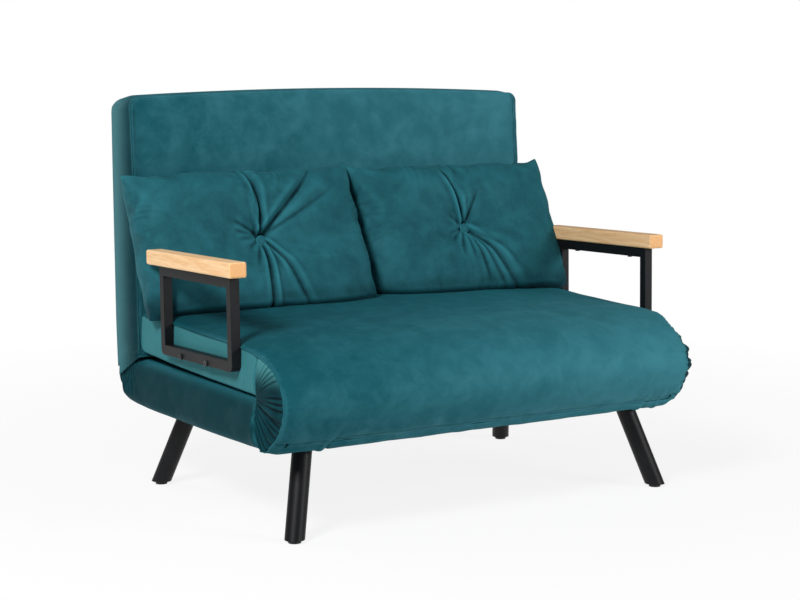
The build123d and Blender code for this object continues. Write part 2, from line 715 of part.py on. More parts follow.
with BuildPart() as rear_pawls:
    with BuildSketch(inner_plane):
        with Locations((REAR[0], REAR[1] + PAWL_HOLD)):
            Circle(2.0)
        with Locations((REAR[0] + 2, REAR[1] + PAWL_HOLD + 13)):
            Circle(6.0)
        make_hull()
    extrude(amount=PLATE_T + 0.4)
    mirror(about=Plane.YZ)
save(rear_pawls, "rear_pawls")

# %% Back section

back_half = BACK_FRAME_HALF - BACK_TUBE / 2
back_low = BACK_FRAME_LOW + BACK_TUBE / 2
back_high = BACK_FRAME_HIGH - BACK_TUBE / 2
back_bars = (BACK_LEG_BAR, (back_low + back_high) / 2)

with BuildPart() as back_frame:
    front_plane = BACK_PLANE.offset(-BACK_TUBE / 2)
    extrude(grid_sketch(front_plane, back_half, back_low, back_high, back_bars, BACK_TUBE), BACK_TUBE)
    bore_plane = BACK_PLANE.offset(-BACK_TUBE / 2 + WALL)
    bore = grid_sketch(bore_plane, back_half, back_low, back_high, back_bars, BACK_TUBE - 2 * WALL)
    extrude(bore, BACK_TUBE - 2 * WALL, mode=Mode.SUBTRACT)
    for bolt_y, bolt_z in BACK_ARM_BOLTS:
        cutter = side_hole(STUD_R, bolt_y, bolt_z, BACK_FRAME_HALF - BACK_TUBE, BACK_FRAME_HALF)
        add(cutter, mode=Mode.SUBTRACT)
save(back_frame, "back_frame")

with BuildPart() as back_webbing:
    with BuildSketch(BACK_PLANE.offset(BACK_TUBE / 2)):
        with Locations((0, (BACK_FRAME_LOW + BACK_FRAME_HIGH) / 2)):
            with GridLocations(STRAP_PITCH, 0, STRAPS, 1):
                Rectangle(STRAP_W, BACK_FRAME_HIGH - BACK_FRAME_LOW - STRAP_INSET)
    extrude(amount=STRAP_T)
save(back_webbing, "back_webbing")

with BuildPart() as back_hinge_bolts:
    for bolt_y, bolt_z in BACK_ARM_BOLTS:
        with BuildSketch(Plane.YZ.offset(BACK_FRAME_HALF - BACK_TUBE)):
            with Locations((bolt_y, bolt_z)):
                Circle(STUD_R)
        extrude(amount=BACK_TUBE + PLATE_T)
        with BuildSketch(Plane.YZ.offset(OUTER_LAYER + PLATE_T)):
            with Locations((bolt_y, bolt_z)):
                Circle(HINGE_HEAD_R)
        extrude(amount=PLATE_T)
    mirror(about=Plane.YZ)
save(back_hinge_bolts, "back_hinge_bolts")

# Faces of the back's side profile, as (y, z)
FRONT_FACE = ((248.5, BACK_PAD_LOW), (279.5, BACK_TOP_MIDDLE - 12))
REAR_FACE = ((355.0, BACK_PAD_LOW), (360.0, 334.0), (365.0, BACK_TOP_MIDDLE - 42))
FRAME_TOP_Z = BACK_FOOT[1] + BACK_FRAME_HIGH * cos(lean)


def back_block():
    """The back's outer form: its side profile crossed with its front outline."""
    with BuildPart(mode=Mode.PRIVATE) as block:
        with BuildSketch(Plane.YZ.offset(-BACK_HALF)):
            with BuildLine():
                Polyline(REAR_FACE[2], REAR_FACE[1], REAR_FACE[0], FRONT_FACE[0], FRONT_FACE[1])
                Spline(
                    FRONT_FACE[1],
                    (292.0, BACK_TOP_MIDDLE),
                    (335.0, BACK_TOP_MIDDLE - 5),
                    REAR_FACE[2],
                    tangents=((0.1, 1), (0.05, -1)),
                )
            make_face()
        extrude(amount=2 * BACK_HALF)
        with BuildSketch(Plane.XZ.offset(-500)) as front_outline:
            with BuildLine():
                ThreePointArc(
                    (-BACK_HALF, BACK_TOP_SIDE), (0, BACK_TOP_MIDDLE), (BACK_HALF, BACK_TOP_SIDE)
                )
                Polyline(
                    (BACK_HALF, BACK_TOP_SIDE),
                    (BACK_HALF, BACK_PAD_LOW),
                    (-BACK_HALF, BACK_PAD_LOW),
                    (-BACK_HALF, BACK_TOP_SIDE),
                )
            make_face()
            fillet(front_outline.vertices().sort_by(Axis.Y)[-2:], 26)
        extrude(amount=400, mode=Mode.INTERSECT)
    return block.part


def behind(y_offset, z_top, z_low=0.0):
    """A cutter block behind the leaning plane at y_offset from the frame's middle."""
    with BuildPart(mode=Mode.PRIVATE) as cutter:
        with BuildSketch(Plane.YZ.offset(-600)):
            with BuildLine():
                Polyline(
                    (back_middle(z_low) + y_offset, z_low),
                    (back_middle(z_top) + y_offset, z_top),
                    (600, z_top),
                    (600, z_low),
                    close=True,
                )
            make_face()
        extrude(amount=1200)
    return cutter.part


with BuildPart() as back_front_pad:
    add(back_block())
    add(behind(-BACK_TUBE / 2 - STRAP_T - FIT - 0.2, FRAME_TOP_Z + 2), mode=Mode.SUBTRACT)
save(back_front_pad, "back_front_pad")

with BuildPart() as back_rear_pad:
    add(back_block())
    add(behind(BACK_TUBE / 2 + FIT, FRAME_TOP_Z + 1.5), mode=Mode.INTERSECT)
    with Locations((0, BAY_FLOOR + 50, (BAY_LOW + BAY_HIGH) / 2)):
        Box(2 * BAY_HALF, 100, BAY_HIGH - BAY_LOW, mode=Mode.SUBTRACT)
    for side in (-1, 1):
        with Locations((side * 283, BAY_FLOOR, LEG_PIVOT[1])):
            Box(18, 40, 34, mode=Mode.SUBTRACT)
save(back_rear_pad, "back_rear_pad")

# %% Fold-out rear leg

BRACKET_IN = 280.0
leg_pin_r = 4.0

with BuildPart() as rear_leg_brackets:
    frame_back = BACK_TUBE / 2 / cos(lean)
    with BuildSketch(Plane.YZ.offset(BRACKET_IN)):
        with BuildLine():
            Polyline(
                (back_middle(688) + frame_back, 688),
                (back_middle(712) + frame_back, 712),
                (LEG_PIVOT[0] + 2, 708),
                (LEG_PIVOT[0] + 8, 703),
                (LEG_PIVOT[0] + 8, 697),
                (LEG_PIVOT[0] + 2, 692),
                close=True,
            )
        make_face()
        with Locations(LEG_PIVOT):
            Circle(leg_pin_r, mode=Mode.SUBTRACT)
    extrude(amount=PLATE_T)
    mirror(about=Plane.YZ)
save(rear_leg_brackets, "rear_leg_brackets")

with BuildPart() as rear_leg_pins:
    with BuildSketch(Plane.YZ.offset(LEG_HALF - LEG_TUBE_R - 1)):
        with Locations(LEG_PIVOT):
            Circle(leg_pin_r)
    extrude(amount=BRACKET_IN + PLATE_T - LEG_HALF + LEG_TUBE_R + 1)
    with BuildSketch(Plane.YZ.offset(BRACKET_IN + PLATE_T)):
        with Locations(LEG_PIVOT):
            Circle(6.5)
    extrude(amount=2.5)
    mirror(about=Plane.YZ)
save(rear_leg_pins, "rear_leg_pins")

with BuildPart() as rear_leg:
    crossbar_z = LEG_PIVOT[1] - LEG_DROP
    with BuildLine() as leg_path:
        FilletPolyline(
            (-LEG_HALF, LEG_PIVOT[0], LEG_PIVOT[1] + 10),
            (-LEG_HALF, LEG_PIVOT[0], crossbar_z),
            (LEG_HALF, LEG_PIVOT[0], crossbar_z),
            (LEG_HALF, LEG_PIVOT[0], LEG_PIVOT[1] + 10),
            radius=LEG_BEND_R,
        )
    with BuildSketch(Plane(origin=leg_path.line @ 0, z_dir=leg_path.line % 0)):
        Circle(LEG_TUBE_R)
        Circle(LEG_TUBE_R - WALL, mode=Mode.SUBTRACT)
    sweep()
    add(side_hole(leg_pin_r + RUNNING, *LEG_PIVOT, LEG_HALF - 20, LEG_HALF + 20), mode=Mode.SUBTRACT)
save(rear_leg, "rear_leg")

with BuildPart() as rear_leg_sleeves:
    with BuildSketch(Plane.YZ.offset(150)):
        with Locations((LEG_PIVOT[0], crossbar_z)):
            Circle(SLEEVE_R)
            Circle(LEG_TUBE_R, mode=Mode.SUBTRACT)
    extrude(amount=55)
    mirror(about=Plane.YZ)
save(rear_leg_sleeves, "rear_leg_sleeves")

# %% Pillows and their covered buttons


def lens(plane, length, half_t):
    """A lens section along its first axis, with a thin edge at both ends."""
    with BuildSketch(plane) as section:
        with BuildLine():
            ThreePointArc((0, PILLOW_EDGE), (length / 2, half_t), (length, PILLOW_EDGE))
            Line((length, PILLOW_EDGE), (length, -PILLOW_EDGE))
            ThreePointArc((length, -PILLOW_EDGE), (length / 2, -half_t), (0, -PILLOW_EDGE))
            Line((0, -PILLOW_EDGE), (0, PILLOW_EDGE))
        make_face()
    return section.sketch


up = Vector(0, sin(tilt), cos(tilt))
out = Vector(0, -cos(tilt), sin(tilt))

for side_name, side in LEFT_RIGHT:
    left_end = Vector(side * PILLOW_X - PILLOW_W / 2, *PILLOW_FOOT)
    middle = Vector(side * PILLOW_X, *PILLOW_FOOT) + up * (PILLOW_H / 2)
    button_plane = Plane(origin=middle, x_dir=(1, 0, 0), z_dir=out)
    seat_depth = PILLOW_HALF_T - BUTTON_T
    with BuildPart() as pillow:
        side_plane = Plane(origin=left_end, x_dir=up, z_dir=(1, 0, 0))
        extrude(lens(side_plane, PILLOW_H, PILLOW_HALF_T), PILLOW_W)
        top_plane = Plane(origin=left_end, x_dir=(1, 0, 0), z_dir=up)
        extrude(lens(top_plane, PILLOW_W, PILLOW_HALF_T + 10), PILLOW_H, mode=Mode.INTERSECT)
        for face in (1, -1):
            with BuildSketch(button_plane.offset(face * seat_depth)):
                Circle(BUTTON_R + 2)
            extrude(amount=face * 40, mode=Mode.SUBTRACT)
    save(pillow, f"{side_name}_pillow")

    with BuildPart() as buttons:
        for face in (1, -1):
            with BuildSketch(button_plane.offset(face * seat_depth)):
                Circle(BUTTON_R)
            extrude(amount=face * BUTTON_T)
        outer_faces = (buttons.faces().sort_by(Axis.Y)[0], buttons.faces().sort_by(Axis.Y)[-1])
        fillet([face.edges()[0] for face in outer_faces], 3)
    save(buttons, f"{side_name}_pillow_buttons")
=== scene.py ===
# %% [markdown]
# # A fold-out sofa bed in teal velvet
# This small two-seat sofa unfolds into a bed. The seat turns forwards over a
# padded roll, and the back lies down. The steel, the wooden caps and the
# bolts come from the CAD frame and only get finishes here. The foam sections,
# the loose pillows and everything that is sewn are modelled here, because
# cloth is what a CAD solid shows worst. Most pieces then ride on the CAD body
# that they belong to; the seat cover, its piping and the hem stay where they lie.

import json
from math import atan2, cos, pi, radians, sin

import bpy
import numpy as np
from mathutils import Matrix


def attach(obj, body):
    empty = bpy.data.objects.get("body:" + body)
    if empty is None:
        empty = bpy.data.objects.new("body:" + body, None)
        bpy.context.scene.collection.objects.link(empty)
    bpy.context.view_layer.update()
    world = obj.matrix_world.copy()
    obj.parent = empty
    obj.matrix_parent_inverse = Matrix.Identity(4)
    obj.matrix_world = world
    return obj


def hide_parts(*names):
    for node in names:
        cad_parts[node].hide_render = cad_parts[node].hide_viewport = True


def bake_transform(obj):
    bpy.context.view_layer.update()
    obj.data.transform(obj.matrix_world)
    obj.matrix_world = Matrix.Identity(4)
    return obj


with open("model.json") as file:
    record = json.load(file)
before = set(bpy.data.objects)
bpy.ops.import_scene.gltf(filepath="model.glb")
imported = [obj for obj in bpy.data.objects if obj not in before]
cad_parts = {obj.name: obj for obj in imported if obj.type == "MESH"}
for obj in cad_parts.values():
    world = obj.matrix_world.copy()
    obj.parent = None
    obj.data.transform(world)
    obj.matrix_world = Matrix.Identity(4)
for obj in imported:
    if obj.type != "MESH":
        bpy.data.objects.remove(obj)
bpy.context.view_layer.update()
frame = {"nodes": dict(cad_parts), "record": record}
MM = 0.001

# %% [markdown]
# ## Camera
# The camera comes first, because every later choice is judged through it. It
# stands low and far to the left, with a long lens, as for a catalogue
# picture: a long lens keeps the legs and the arms nearly parallel.

# %% Camera
CAMERA_PLACE = (-2.023, -3.227, 0.889)
TURN = 0.559
DOWN = 0.132
SENSOR_WIDTH = 36
LENS = 83.85
bpy.ops.object.select_all(action="DESELECT")
bpy.ops.object.camera_add(location=CAMERA_PLACE, rotation=(pi / 2 - DOWN, 0, -TURN))
camera = bpy.context.object
camera.name = "catalogue_camera"
camera.data.sensor_width = SENSOR_WIDTH
camera.data.lens = LENS
bpy.context.scene.camera = camera
bpy.context.scene.view_settings.view_transform = "Standard"
print("camera", tuple(round(v, 3) for v in camera.location))

# %% [markdown]
# ## Floor and light
# The floor is one large plane of white paper. It could curve up behind the
# sofa like a studio sweep. Here camera and mirror rays see it mixed with a
# plain white instead, and with more of it further out, so that it melts into
# the white world and no horizon shows. Other rays meet plain paper, so the
# cloth gets no extra light from below. The light is three large soft panels
# and an even world, so that velvet, steel and wood all show their form
# without hard shadows.

# %% Studio sweep
bpy.ops.mesh.primitive_plane_add(size=14, location=(0, 0, 0))
sweep = bpy.context.object
sweep.name = "studio_sweep"
bpy.ops.object.transform_apply(location=True, rotation=True, scale=True)


def new_material(name):
    """A node material, its Principled shader and its links."""
    made = bpy.data.materials.new(name)
    made.use_nodes = True
    return made, made.node_tree, made.node_tree.nodes["Principled BSDF"]


paper, tree, shader = new_material("white_paper")
shader.inputs["Base Color"].default_value = (0.9, 0.9, 0.9, 1)
shader.inputs["Roughness"].default_value = 0.95
shader.inputs["Specular IOR Level"].default_value = 0.1
page = tree.nodes.new("ShaderNodeEmission")
page.inputs["Color"].default_value = (1, 1, 1, 1)
page.inputs["Strength"].default_value = 1.0
rays = tree.nodes.new("ShaderNodeLightPath")
seen = tree.nodes.new("ShaderNodeMath")
seen.operation = "MAXIMUM"
spot = tree.nodes.new("ShaderNodeTexCoord")
reach = tree.nodes.new("ShaderNodeVectorMath")
reach.operation = "LENGTH"
fade_out = tree.nodes.new("ShaderNodeMapRange")
fade_out.inputs["From Min"].default_value = 0.7
fade_out.inputs["From Max"].default_value = 2.2
fade_out.inputs["To Min"].default_value = 0.86
fade_out.inputs["To Max"].default_value = 1.0
part_white = tree.nodes.new("ShaderNodeMath")
part_white.operation = "MULTIPLY"
blend_white = tree.nodes.new("ShaderNodeMixShader")
output = tree.nodes["Material Output"]
tree.links.new(rays.outputs["Is Camera Ray"], seen.inputs[0])
tree.links.new(rays.outputs["Is Glossy Ray"], seen.inputs[1])
tree.links.new(spot.outputs["Object"], reach.inputs[0])
tree.links.new(reach.outputs["Value"], fade_out.inputs["Value"])
tree.links.new(seen.outputs[0], part_white.inputs[0])
tree.links.new(fade_out.outputs["Result"], part_white.inputs[1])
tree.links.new(part_white.outputs[0], blend_white.inputs["Fac"])
tree.links.new(shader.outputs["BSDF"], blend_white.inputs[1])
tree.links.new(page.outputs["Emission"], blend_white.inputs[2])
tree.links.new(blend_white.outputs["Shader"], output.inputs["Surface"])
sweep.data.materials.append(paper)
print("sweep", sweep.name)

# %% World and lamps
world = bpy.data.worlds.new("studio")
bpy.context.scene.world = world
world.use_nodes = True
sky = world.node_tree
air = sky.nodes["Background"]
air.inputs["Color"].default_value = (1, 1, 1, 1)
air.inputs["Strength"].default_value = 0.16
white_air = sky.nodes.new("ShaderNodeBackground")
white_air.inputs["Color"].default_value = (1, 1, 1, 1)
white_air.inputs["Strength"].default_value = 1.0
air_rays = sky.nodes.new("ShaderNodeLightPath")
air_mix = sky.nodes.new("ShaderNodeMixShader")
sky.links.new(air_rays.outputs["Is Camera Ray"], air_mix.inputs["Fac"])
sky.links.new(air.outputs["Background"], air_mix.inputs[1])
sky.links.new(white_air.outputs["Background"], air_mix.inputs[2])
sky.links.new(air_mix.outputs["Shader"], sky.nodes["World Output"].inputs["Surface"])


def soft_panel(name, place, aim, width, height, watts):
    """A rectangular lamp at place, turned towards aim."""
    bpy.ops.object.light_add(type="AREA", location=place)
    lamp = bpy.context.object
    lamp.name = name
    lamp.data.shape = "RECTANGLE"
    lamp.data.size, lamp.data.size_y = width, height
    lamp.data.energy = watts
    dx, dy, dz = (a - p for a, p in zip(aim, place))
    lamp.rotation_euler = (atan2((dx * dx + dy * dy) ** 0.5, -dz), 0, atan2(-dx, dy))
    return lamp


soft_panel("key_panel", (-2.6, -1.5, 2.5), (0, 0, 0.4), 0.9, 0.8, 100)
soft_panel("front_panel", (2.1, -3.2, 1.5), (0, 0, 0.35), 1.4, 1.0, 74)
soft_panel("rear_panel", (-1.6, 2.6, 2.2), (0, 0, 0.4), 1.5, 1.2, 24)

# %% [markdown]
# ## Helpers for cloth shapes
# A padded section is a foam block in a sewn cover. By hand it would start as
# a cube or a grid that is cut into many cells and then pulled into shape. The
# two helpers below do that: each adds the primitive, cuts it up in edit mode,
# and hands its points to a small function that says where the cloth lies.

# %% Point helpers
def deselect():
    bpy.ops.object.select_all(action="DESELECT")


def pick(piece):
    """Makes a piece the only selected one, and the active one."""
    deselect()
    piece.select_set(True)
    bpy.context.view_layer.objects.active = piece


def points_of(piece):
    """The mesh points of a piece as rows of x, y, z."""
    flat = np.empty(len(piece.data.vertices) * 3, np.float32)
    piece.data.vertices.foreach_get("co", flat)
    return flat.reshape(-1, 3).astype(float)


def move_points(piece, points):
    piece.data.vertices.foreach_set("co", points.astype(np.float32).ravel())
    piece.data.update()


def edit(piece, *steps):
    """Runs edit-mode operators on all of a piece's faces."""
    pick(piece)
    bpy.ops.object.mode_set(mode="EDIT")
    bpy.ops.mesh.select_mode(type="FACE")
    bpy.ops.mesh.select_all(action="SELECT")
    for step in steps:
        step()
    bpy.ops.object.mode_set(mode="OBJECT")


def smooth_shade(piece):
    pick(piece)
    bpy.ops.object.shade_smooth()


def apply_modifier(piece, kind, **settings):
    """Adds a modifier with these settings and applies it at once."""
    pick(piece)
    added = piece.modifiers.new(kind.lower(), kind)
    for key, value in settings.items():
        setattr(added, key, value)
    bpy.ops.object.modifier_apply(modifier=added.name)


# %% Cloth sheets
def cloth_sheet(name, columns, rows, place, thickness=2.0):
    """A grid whose points go to place(u, v) in millimetres, with a cloth's thickness inwards."""
    deselect()
    bpy.ops.mesh.primitive_grid_add(x_subdivisions=columns, y_subdivisions=rows, size=1)
    piece = bpy.context.object
    piece.name = piece.data.name = name
    flat = points_of(piece)
    placed = place(flat[:, 0] + 0.5, flat[:, 1] + 0.5)
    move_points(piece, np.stack(np.broadcast_arrays(*placed), 1) * MM)
    apply_modifier(piece, "SOLIDIFY", thickness=thickness * MM, offset=-1, use_even_offset=False)
    edit(piece, lambda: bpy.ops.mesh.normals_make_consistent(inside=False))
    smooth_shade(piece)
    print(name, len(piece.data.polygons), "faces")
    return piece


# %% Padded blocks
AT_FACE = 0.999


def padded_block(name, cells, place):
    """A closed block whose points go to place(a, b, c) in millimetres, each from -1 to 1."""
    deselect()
    bpy.ops.mesh.primitive_grid_add(
        x_subdivisions=cells[0], y_subdivisions=cells[1], size=2, location=(0, 0, -1)
    )
    piece = bpy.context.object
    piece.name = piece.data.name = name
    bpy.ops.object.transform_apply(location=True, rotation=True, scale=True)
    rise = {"value": (0, 0, 2 / cells[2])}

    def build_up():
        for layer in range(cells[2]):
            bpy.ops.mesh.extrude_region_move(TRANSFORM_OT_translate=rise)
        bpy.ops.mesh.select_all(action="SELECT")
        bpy.ops.mesh.normals_make_consistent(inside=False)

    edit(piece, build_up)
    unit = np.clip(points_of(piece), -1, 1)
    placed = place(unit[:, 0], unit[:, 1], unit[:, 2])
    move_points(piece, np.stack(np.broadcast_arrays(*placed), 1) * MM)
    edit(piece, lambda: bpy.ops.mesh.normals_make_consistent(inside=False))
    smooth_shade(piece)
    print(name, len(piece.data.polygons), "faces")
    return piece


# %% [markdown]
# Cloth is never quite even. The wobble below is smooth noise on a lattice. It
# has fixed numbers inside, so every run gives the same cloth. The swell is
# how far a stuffed panel rises, a given way in from its seam: steep at the
# seam, and level further in.

# %% Wobble, swell and smooth lines
def wobble(a, b, seed):
    """Smooth noise from -1 to 1 over two coordinates."""
    ai, bi = np.floor(a), np.floor(b)
    af, bf = a - ai, b - bi
    af, bf = af * af * (3 - 2 * af), bf * bf * (3 - 2 * bf)

    def corner(i, j):
        mixed = np.sin(i * 127.1 + j * 311.7 + seed * 74.7) * 43758.5453
        return 2 * (mixed - np.floor(mixed)) - 1

    low = corner(ai, bi) * (1 - af) + corner(ai + 1, bi) * af
    high = corner(ai, bi + 1) * (1 - af) + corner(ai + 1, bi + 1) * af
    return low * (1 - bf) + high * bf


def swell(inwards, width, height):
    """Rise of a stuffed panel, at a distance inwards from its seam."""
    share = np.clip(inwards / width, 0, 1)
    return height * np.sqrt(np.maximum(1 - (1 - share) ** 2, 0))


def ramp(value, start, end):
    """0 at start, 1 at end, with soft ends."""
    share = np.clip((value - start) / (end - start), 0, 1)
    return share * share * (3 - 2 * share)


def bump_at(value, middle, width):
    """A round bump that is 1 at its middle."""
    return np.exp(-(((value - middle) / width) ** 2))


def rounded_edge(distance, radius):
    """How far a rounded edge falls back, at a distance from where it starts."""
    return radius - np.sqrt(np.maximum(radius**2 - np.maximum(radius - distance, 0) ** 2, 0))


def sharp_folds(phase, power, middle):
    """Narrow folds with round backs, one for each whole number of phase, about a middle height."""
    return np.abs(np.sin(pi * phase)) ** power - middle


def crowd(t, amount=0.6):
    """Moves values from -1 to 1 nearer to both ends, so that cells are small along the seams."""
    return (1 - amount) * t + amount * np.sin(t * pi / 2)


def smooth_line(corners, count):
    """count points, evenly spaced along a smooth line through the corners."""
    corners = np.array(corners, float)
    gaps = np.linalg.norm(np.diff(corners, axis=0), axis=1)
    at = np.concatenate([[0], np.cumsum(gaps)])
    slopes = np.gradient(corners, at, axis=0)
    fine = np.linspace(0, at[-1], 40 * len(corners))
    part = np.clip(np.searchsorted(at, fine, side="right") - 1, 0, len(corners) - 2)
    span = (at[part + 1] - at[part])[:, None]
    t = (fine - at[part])[:, None] / span
    line = (
        (2 * t**3 - 3 * t**2 + 1) * corners[part]
        + (t**3 - 2 * t**2 + t) * span * slopes[part]
        + (3 * t**2 - 2 * t**3) * corners[part + 1]
        + (t**3 - t**2) * span * slopes[part + 1]
    )
    run = np.concatenate([[0], np.cumsum(np.linalg.norm(np.diff(line, axis=0), axis=1))])
    even = np.linspace(0, run[-1], count)
    return np.stack([np.interp(even, run, line[:, k]) for k in range(line.shape[1])], 1)


print("helpers ready")

# %% [markdown]
# ## Velvet
# Velvet is a short upright pile. Where it leans towards you it looks deep, and
# where it leans away it looks pale, so brushed cloth shows soft patches and
# its edges glow. The patches and the fine pile are worked out once, in a node
# group, and every velvet places that group with its own colours. The glow at
# grazing angles is the shader's own sheen, which must stay outside the group.

# %% Colours
def paint(red, green, blue):
    """A screen colour of 0 to 255 as the linear colour that a shader takes."""
    linear = []
    for value in (red, green, blue):
        share = value / 255
        linear.append(share / 12.92 if share <= 0.04045 else ((share + 0.055) / 1.055) ** 2.4)
    return (*linear, 1)


def group_start(name, inputs, outputs):
    """A shader node group with named inputs and outputs, and its two end nodes."""
    group = bpy.data.node_groups.new(name, "ShaderNodeTree")
    for label, kind, value in inputs:
        made = group.interface.new_socket(label, in_out="INPUT", socket_type=kind)
        made.default_value = value
    for label, kind in outputs:
        group.interface.new_socket(label, in_out="OUTPUT", socket_type=kind)
    return group, group.nodes.new("NodeGroupInput"), group.nodes.new("NodeGroupOutput")


def noise_node(group, scale, detail, roughness=0.5, distortion=0.0):
    node = group.nodes.new("ShaderNodeTexNoise")
    node.inputs["Scale"].default_value = scale
    node.inputs["Detail"].default_value = detail
    node.inputs["Roughness"].default_value = roughness
    node.inputs["Distortion"].default_value = distortion
    return node


def math_node(group, operation, first=None, second=None):
    node = group.nodes.new("ShaderNodeMath")
    node.operation = operation
    for socket, value in zip(node.inputs, (first, second)):
        if isinstance(value, (int, float)):
            socket.default_value = value
        elif value is not None:
            group.links.new(value, socket)
    return node.outputs[0]


def product(group, first, second):
    return math_node(group, "MULTIPLY", first, second)


def total(group, first, *more):
    for value in more:
        first = math_node(group, "ADD", first, value)
    return first


def remap(group, value, low, high, new_low=0.0, new_high=1.0):
    node = group.nodes.new("ShaderNodeMapRange")
    node.interpolation_type = "SMOOTHSTEP"
    group.links.new(value, node.inputs["Value"])
    numbers = {"From Min": low, "From Max": high, "To Min": new_low, "To Max": new_high}
    for label, number in numbers.items():
        node.inputs[label].default_value = number
    return node.outputs["Result"]


def mix_colours(group, share, first, second):
    node = group.nodes.new("ShaderNodeMix")
    node.data_type = "RGBA"
    for socket, value in ((0, share), (6, first), (7, second)):
        if isinstance(value, (int, float, tuple)):
            node.inputs[socket].default_value = value
        else:
            group.links.new(value, node.inputs[socket])
    return node.outputs[2]


def finish_from(name, group, values, strength, distance):
    """A material whose colour, roughness and height come from a node group with these values."""
    made, tree, shader = new_material(name)
    placed = tree.nodes.new("ShaderNodeGroup")
    placed.node_tree = group
    for socket, value in values.items():
        placed.inputs[socket].default_value = value
    rise = tree.nodes.new("ShaderNodeBump")
    rise.inputs["Strength"].default_value = strength
    rise.inputs["Distance"].default_value = distance
    tree.links.new(placed.outputs["Color"], shader.inputs["Base Color"])
    tree.links.new(placed.outputs["Roughness"], shader.inputs["Roughness"])
    tree.links.new(placed.outputs["Height"], rise.inputs["Height"])
    tree.links.new(rise.outputs["Normal"], shader.inputs["Normal"])
    return made, shader


print("node helpers ready")

# %% Velvet group
velvet, velvet_in, velvet_out = group_start(
    "velvet_nap",
    [
        ("Deep", "NodeSocketColor", (0.01, 0.06, 0.08, 1)),
        ("Pale", "NodeSocketColor", (0.05, 0.2, 0.23, 1)),
        ("Brushing", "NodeSocketFloat", 0.5),
        ("Painted Shade From Above", "NodeSocketFloat", 0.0),
        ("At Sides", "NodeSocketFloat", 0.0),
        ("Ridges", "NodeSocketFloat", 0.0),
        ("Side Color", "NodeSocketColor", (0.0, 0.02, 0.03, 1)),
        ("Paler To Right", "NodeSocketFloat", 0.0),
    ],
    [("Color", "NodeSocketColor"), ("Roughness", "NodeSocketFloat"), ("Height", "NodeSocketFloat")],
)
place = velvet.nodes.new("ShaderNodeTexCoord")
patches = noise_node(velvet, 11, 5, 0.62, 0.7)
strokes = noise_node(velvet, 27, 6, 0.66, 0.25)
pile = noise_node(velvet, 1400, 1)
for node in (patches, strokes, pile):
    velvet.links.new(place.outputs["Object"], node.inputs["Vector"])
broad = remap(velvet, patches.outputs["Fac"], 0.34, 0.68)
narrow = remap(velvet, strokes.outputs["Fac"], 0.32, 0.7)
brushed = total(velvet, product(velvet, broad, 0.5), product(velvet, narrow, 0.5))
centred = math_node(velvet, "SUBTRACT", brushed, 0.5)
swayed = product(velvet, centred, velvet_in.outputs["Brushing"])
speck = product(velvet, math_node(velvet, "SUBTRACT", pile.outputs["Fac"], 0.5), 0.22)
# Pointiness paints light on convex ridges and shade in creases
shape = velvet.nodes.new("ShaderNodeNewGeometry")
ridge = math_node(velvet, "SUBTRACT", remap(velvet, shape.outputs["Pointiness"], 0.44, 0.56), 0.5)
wear_and_ridge_shade = product(velvet, ridge, velvet_in.outputs["Ridges"])
where = velvet.nodes.new("ShaderNodeSeparateXYZ")
velvet.links.new(place.outputs["Object"], where.inputs[0])
to_right = product(velvet, where.outputs["X"], velvet_in.outputs["Paler To Right"])
lean = total(velvet, swayed, speck, wear_and_ridge_shade, 0.5, to_right)
nap = mix_colours(velvet, lean, velvet_in.outputs["Deep"], velvet_in.outputs["Pale"])
facing = velvet.nodes.new("ShaderNodeSeparateXYZ")
velvet.links.new(place.outputs["Normal"], facing.inputs[0])
upwards = math_node(velvet, "MAXIMUM", facing.outputs["Z"], 0.0)
sideways = math_node(velvet, "ABSOLUTE", facing.outputs["X"])
# Painted shade darkens the faces that look up
from_above = product(velvet, upwards, velvet_in.outputs["Painted Shade From Above"])
# Faces that look sideways take the side colour: painted light on the seat's side panels, painted shade and
# sheen on the back's
at_sides = product(velvet, sideways, velvet_in.outputs["At Sides"])
nap = mix_colours(velvet, from_above, nap, (0.0, 0.075, 0.1, 1))
nap = mix_colours(velvet, at_sides, nap, velvet_in.outputs["Side Color"])
height = total(velvet, product(velvet, pile.outputs["Fac"], 0.35), product(velvet, brushed, 0.65))
velvet.links.new(nap, velvet_out.inputs["Color"])
velvet.links.new(remap(velvet, brushed, 0.0, 1.0, 0.82, 0.66), velvet_out.inputs["Roughness"])
velvet.links.new(height, velvet_out.inputs["Height"])
print("velvet group", len(velvet.nodes), "nodes")

# %% [markdown]
# The group is then placed once for each part of the sofa. The seat and the
# back are brushed alike. Side panels take a colour of their own: painted light
# makes the seat's pale, the back's go from painted shade at the front seam to a
# paler painted sheen at the rear, and the base's are darker. A roll's end is
# creased. Every velvet paints light on ridges and shade in creases, most
# strongly on the base and the roll's end. So each gets two colours and a few
# strengths of its own. Colours that change along a panel are fed to the group
# from outside.

# %% Velvets
SHEEN_TINT = paint(110, 190, 200)


def velvet_material(
    name, deep, pale, brushing, sheen, above=0.0, sides=0.0, side_colour=(0, 20, 26), ridges=0.6, to_right=0.0
):
    """A velvet between a deep and a pale colour, with side panels of a colour of their own, painted shade on
    upward faces, and painted light on ridges and shade in creases.
    """
    values = {
        "Deep": paint(*deep),
        "Pale": paint(*pale),
        "Brushing": brushing,
        "Painted Shade From Above": above,
        "At Sides": sides,
        "Ridges": ridges,
        "Side Color": paint(*side_colour),
        "Paler To Right": to_right,
    }
    made, shader = finish_from(name, velvet, values, 0.35, 0.0012)
    shader.inputs["Specular IOR Level"].default_value = 0.1
    shader.inputs["Sheen Weight"].default_value = sheen
    shader.inputs["Sheen Roughness"].default_value = 0.45
    shader.inputs["Sheen Tint"].default_value = SHEEN_TINT
    return made


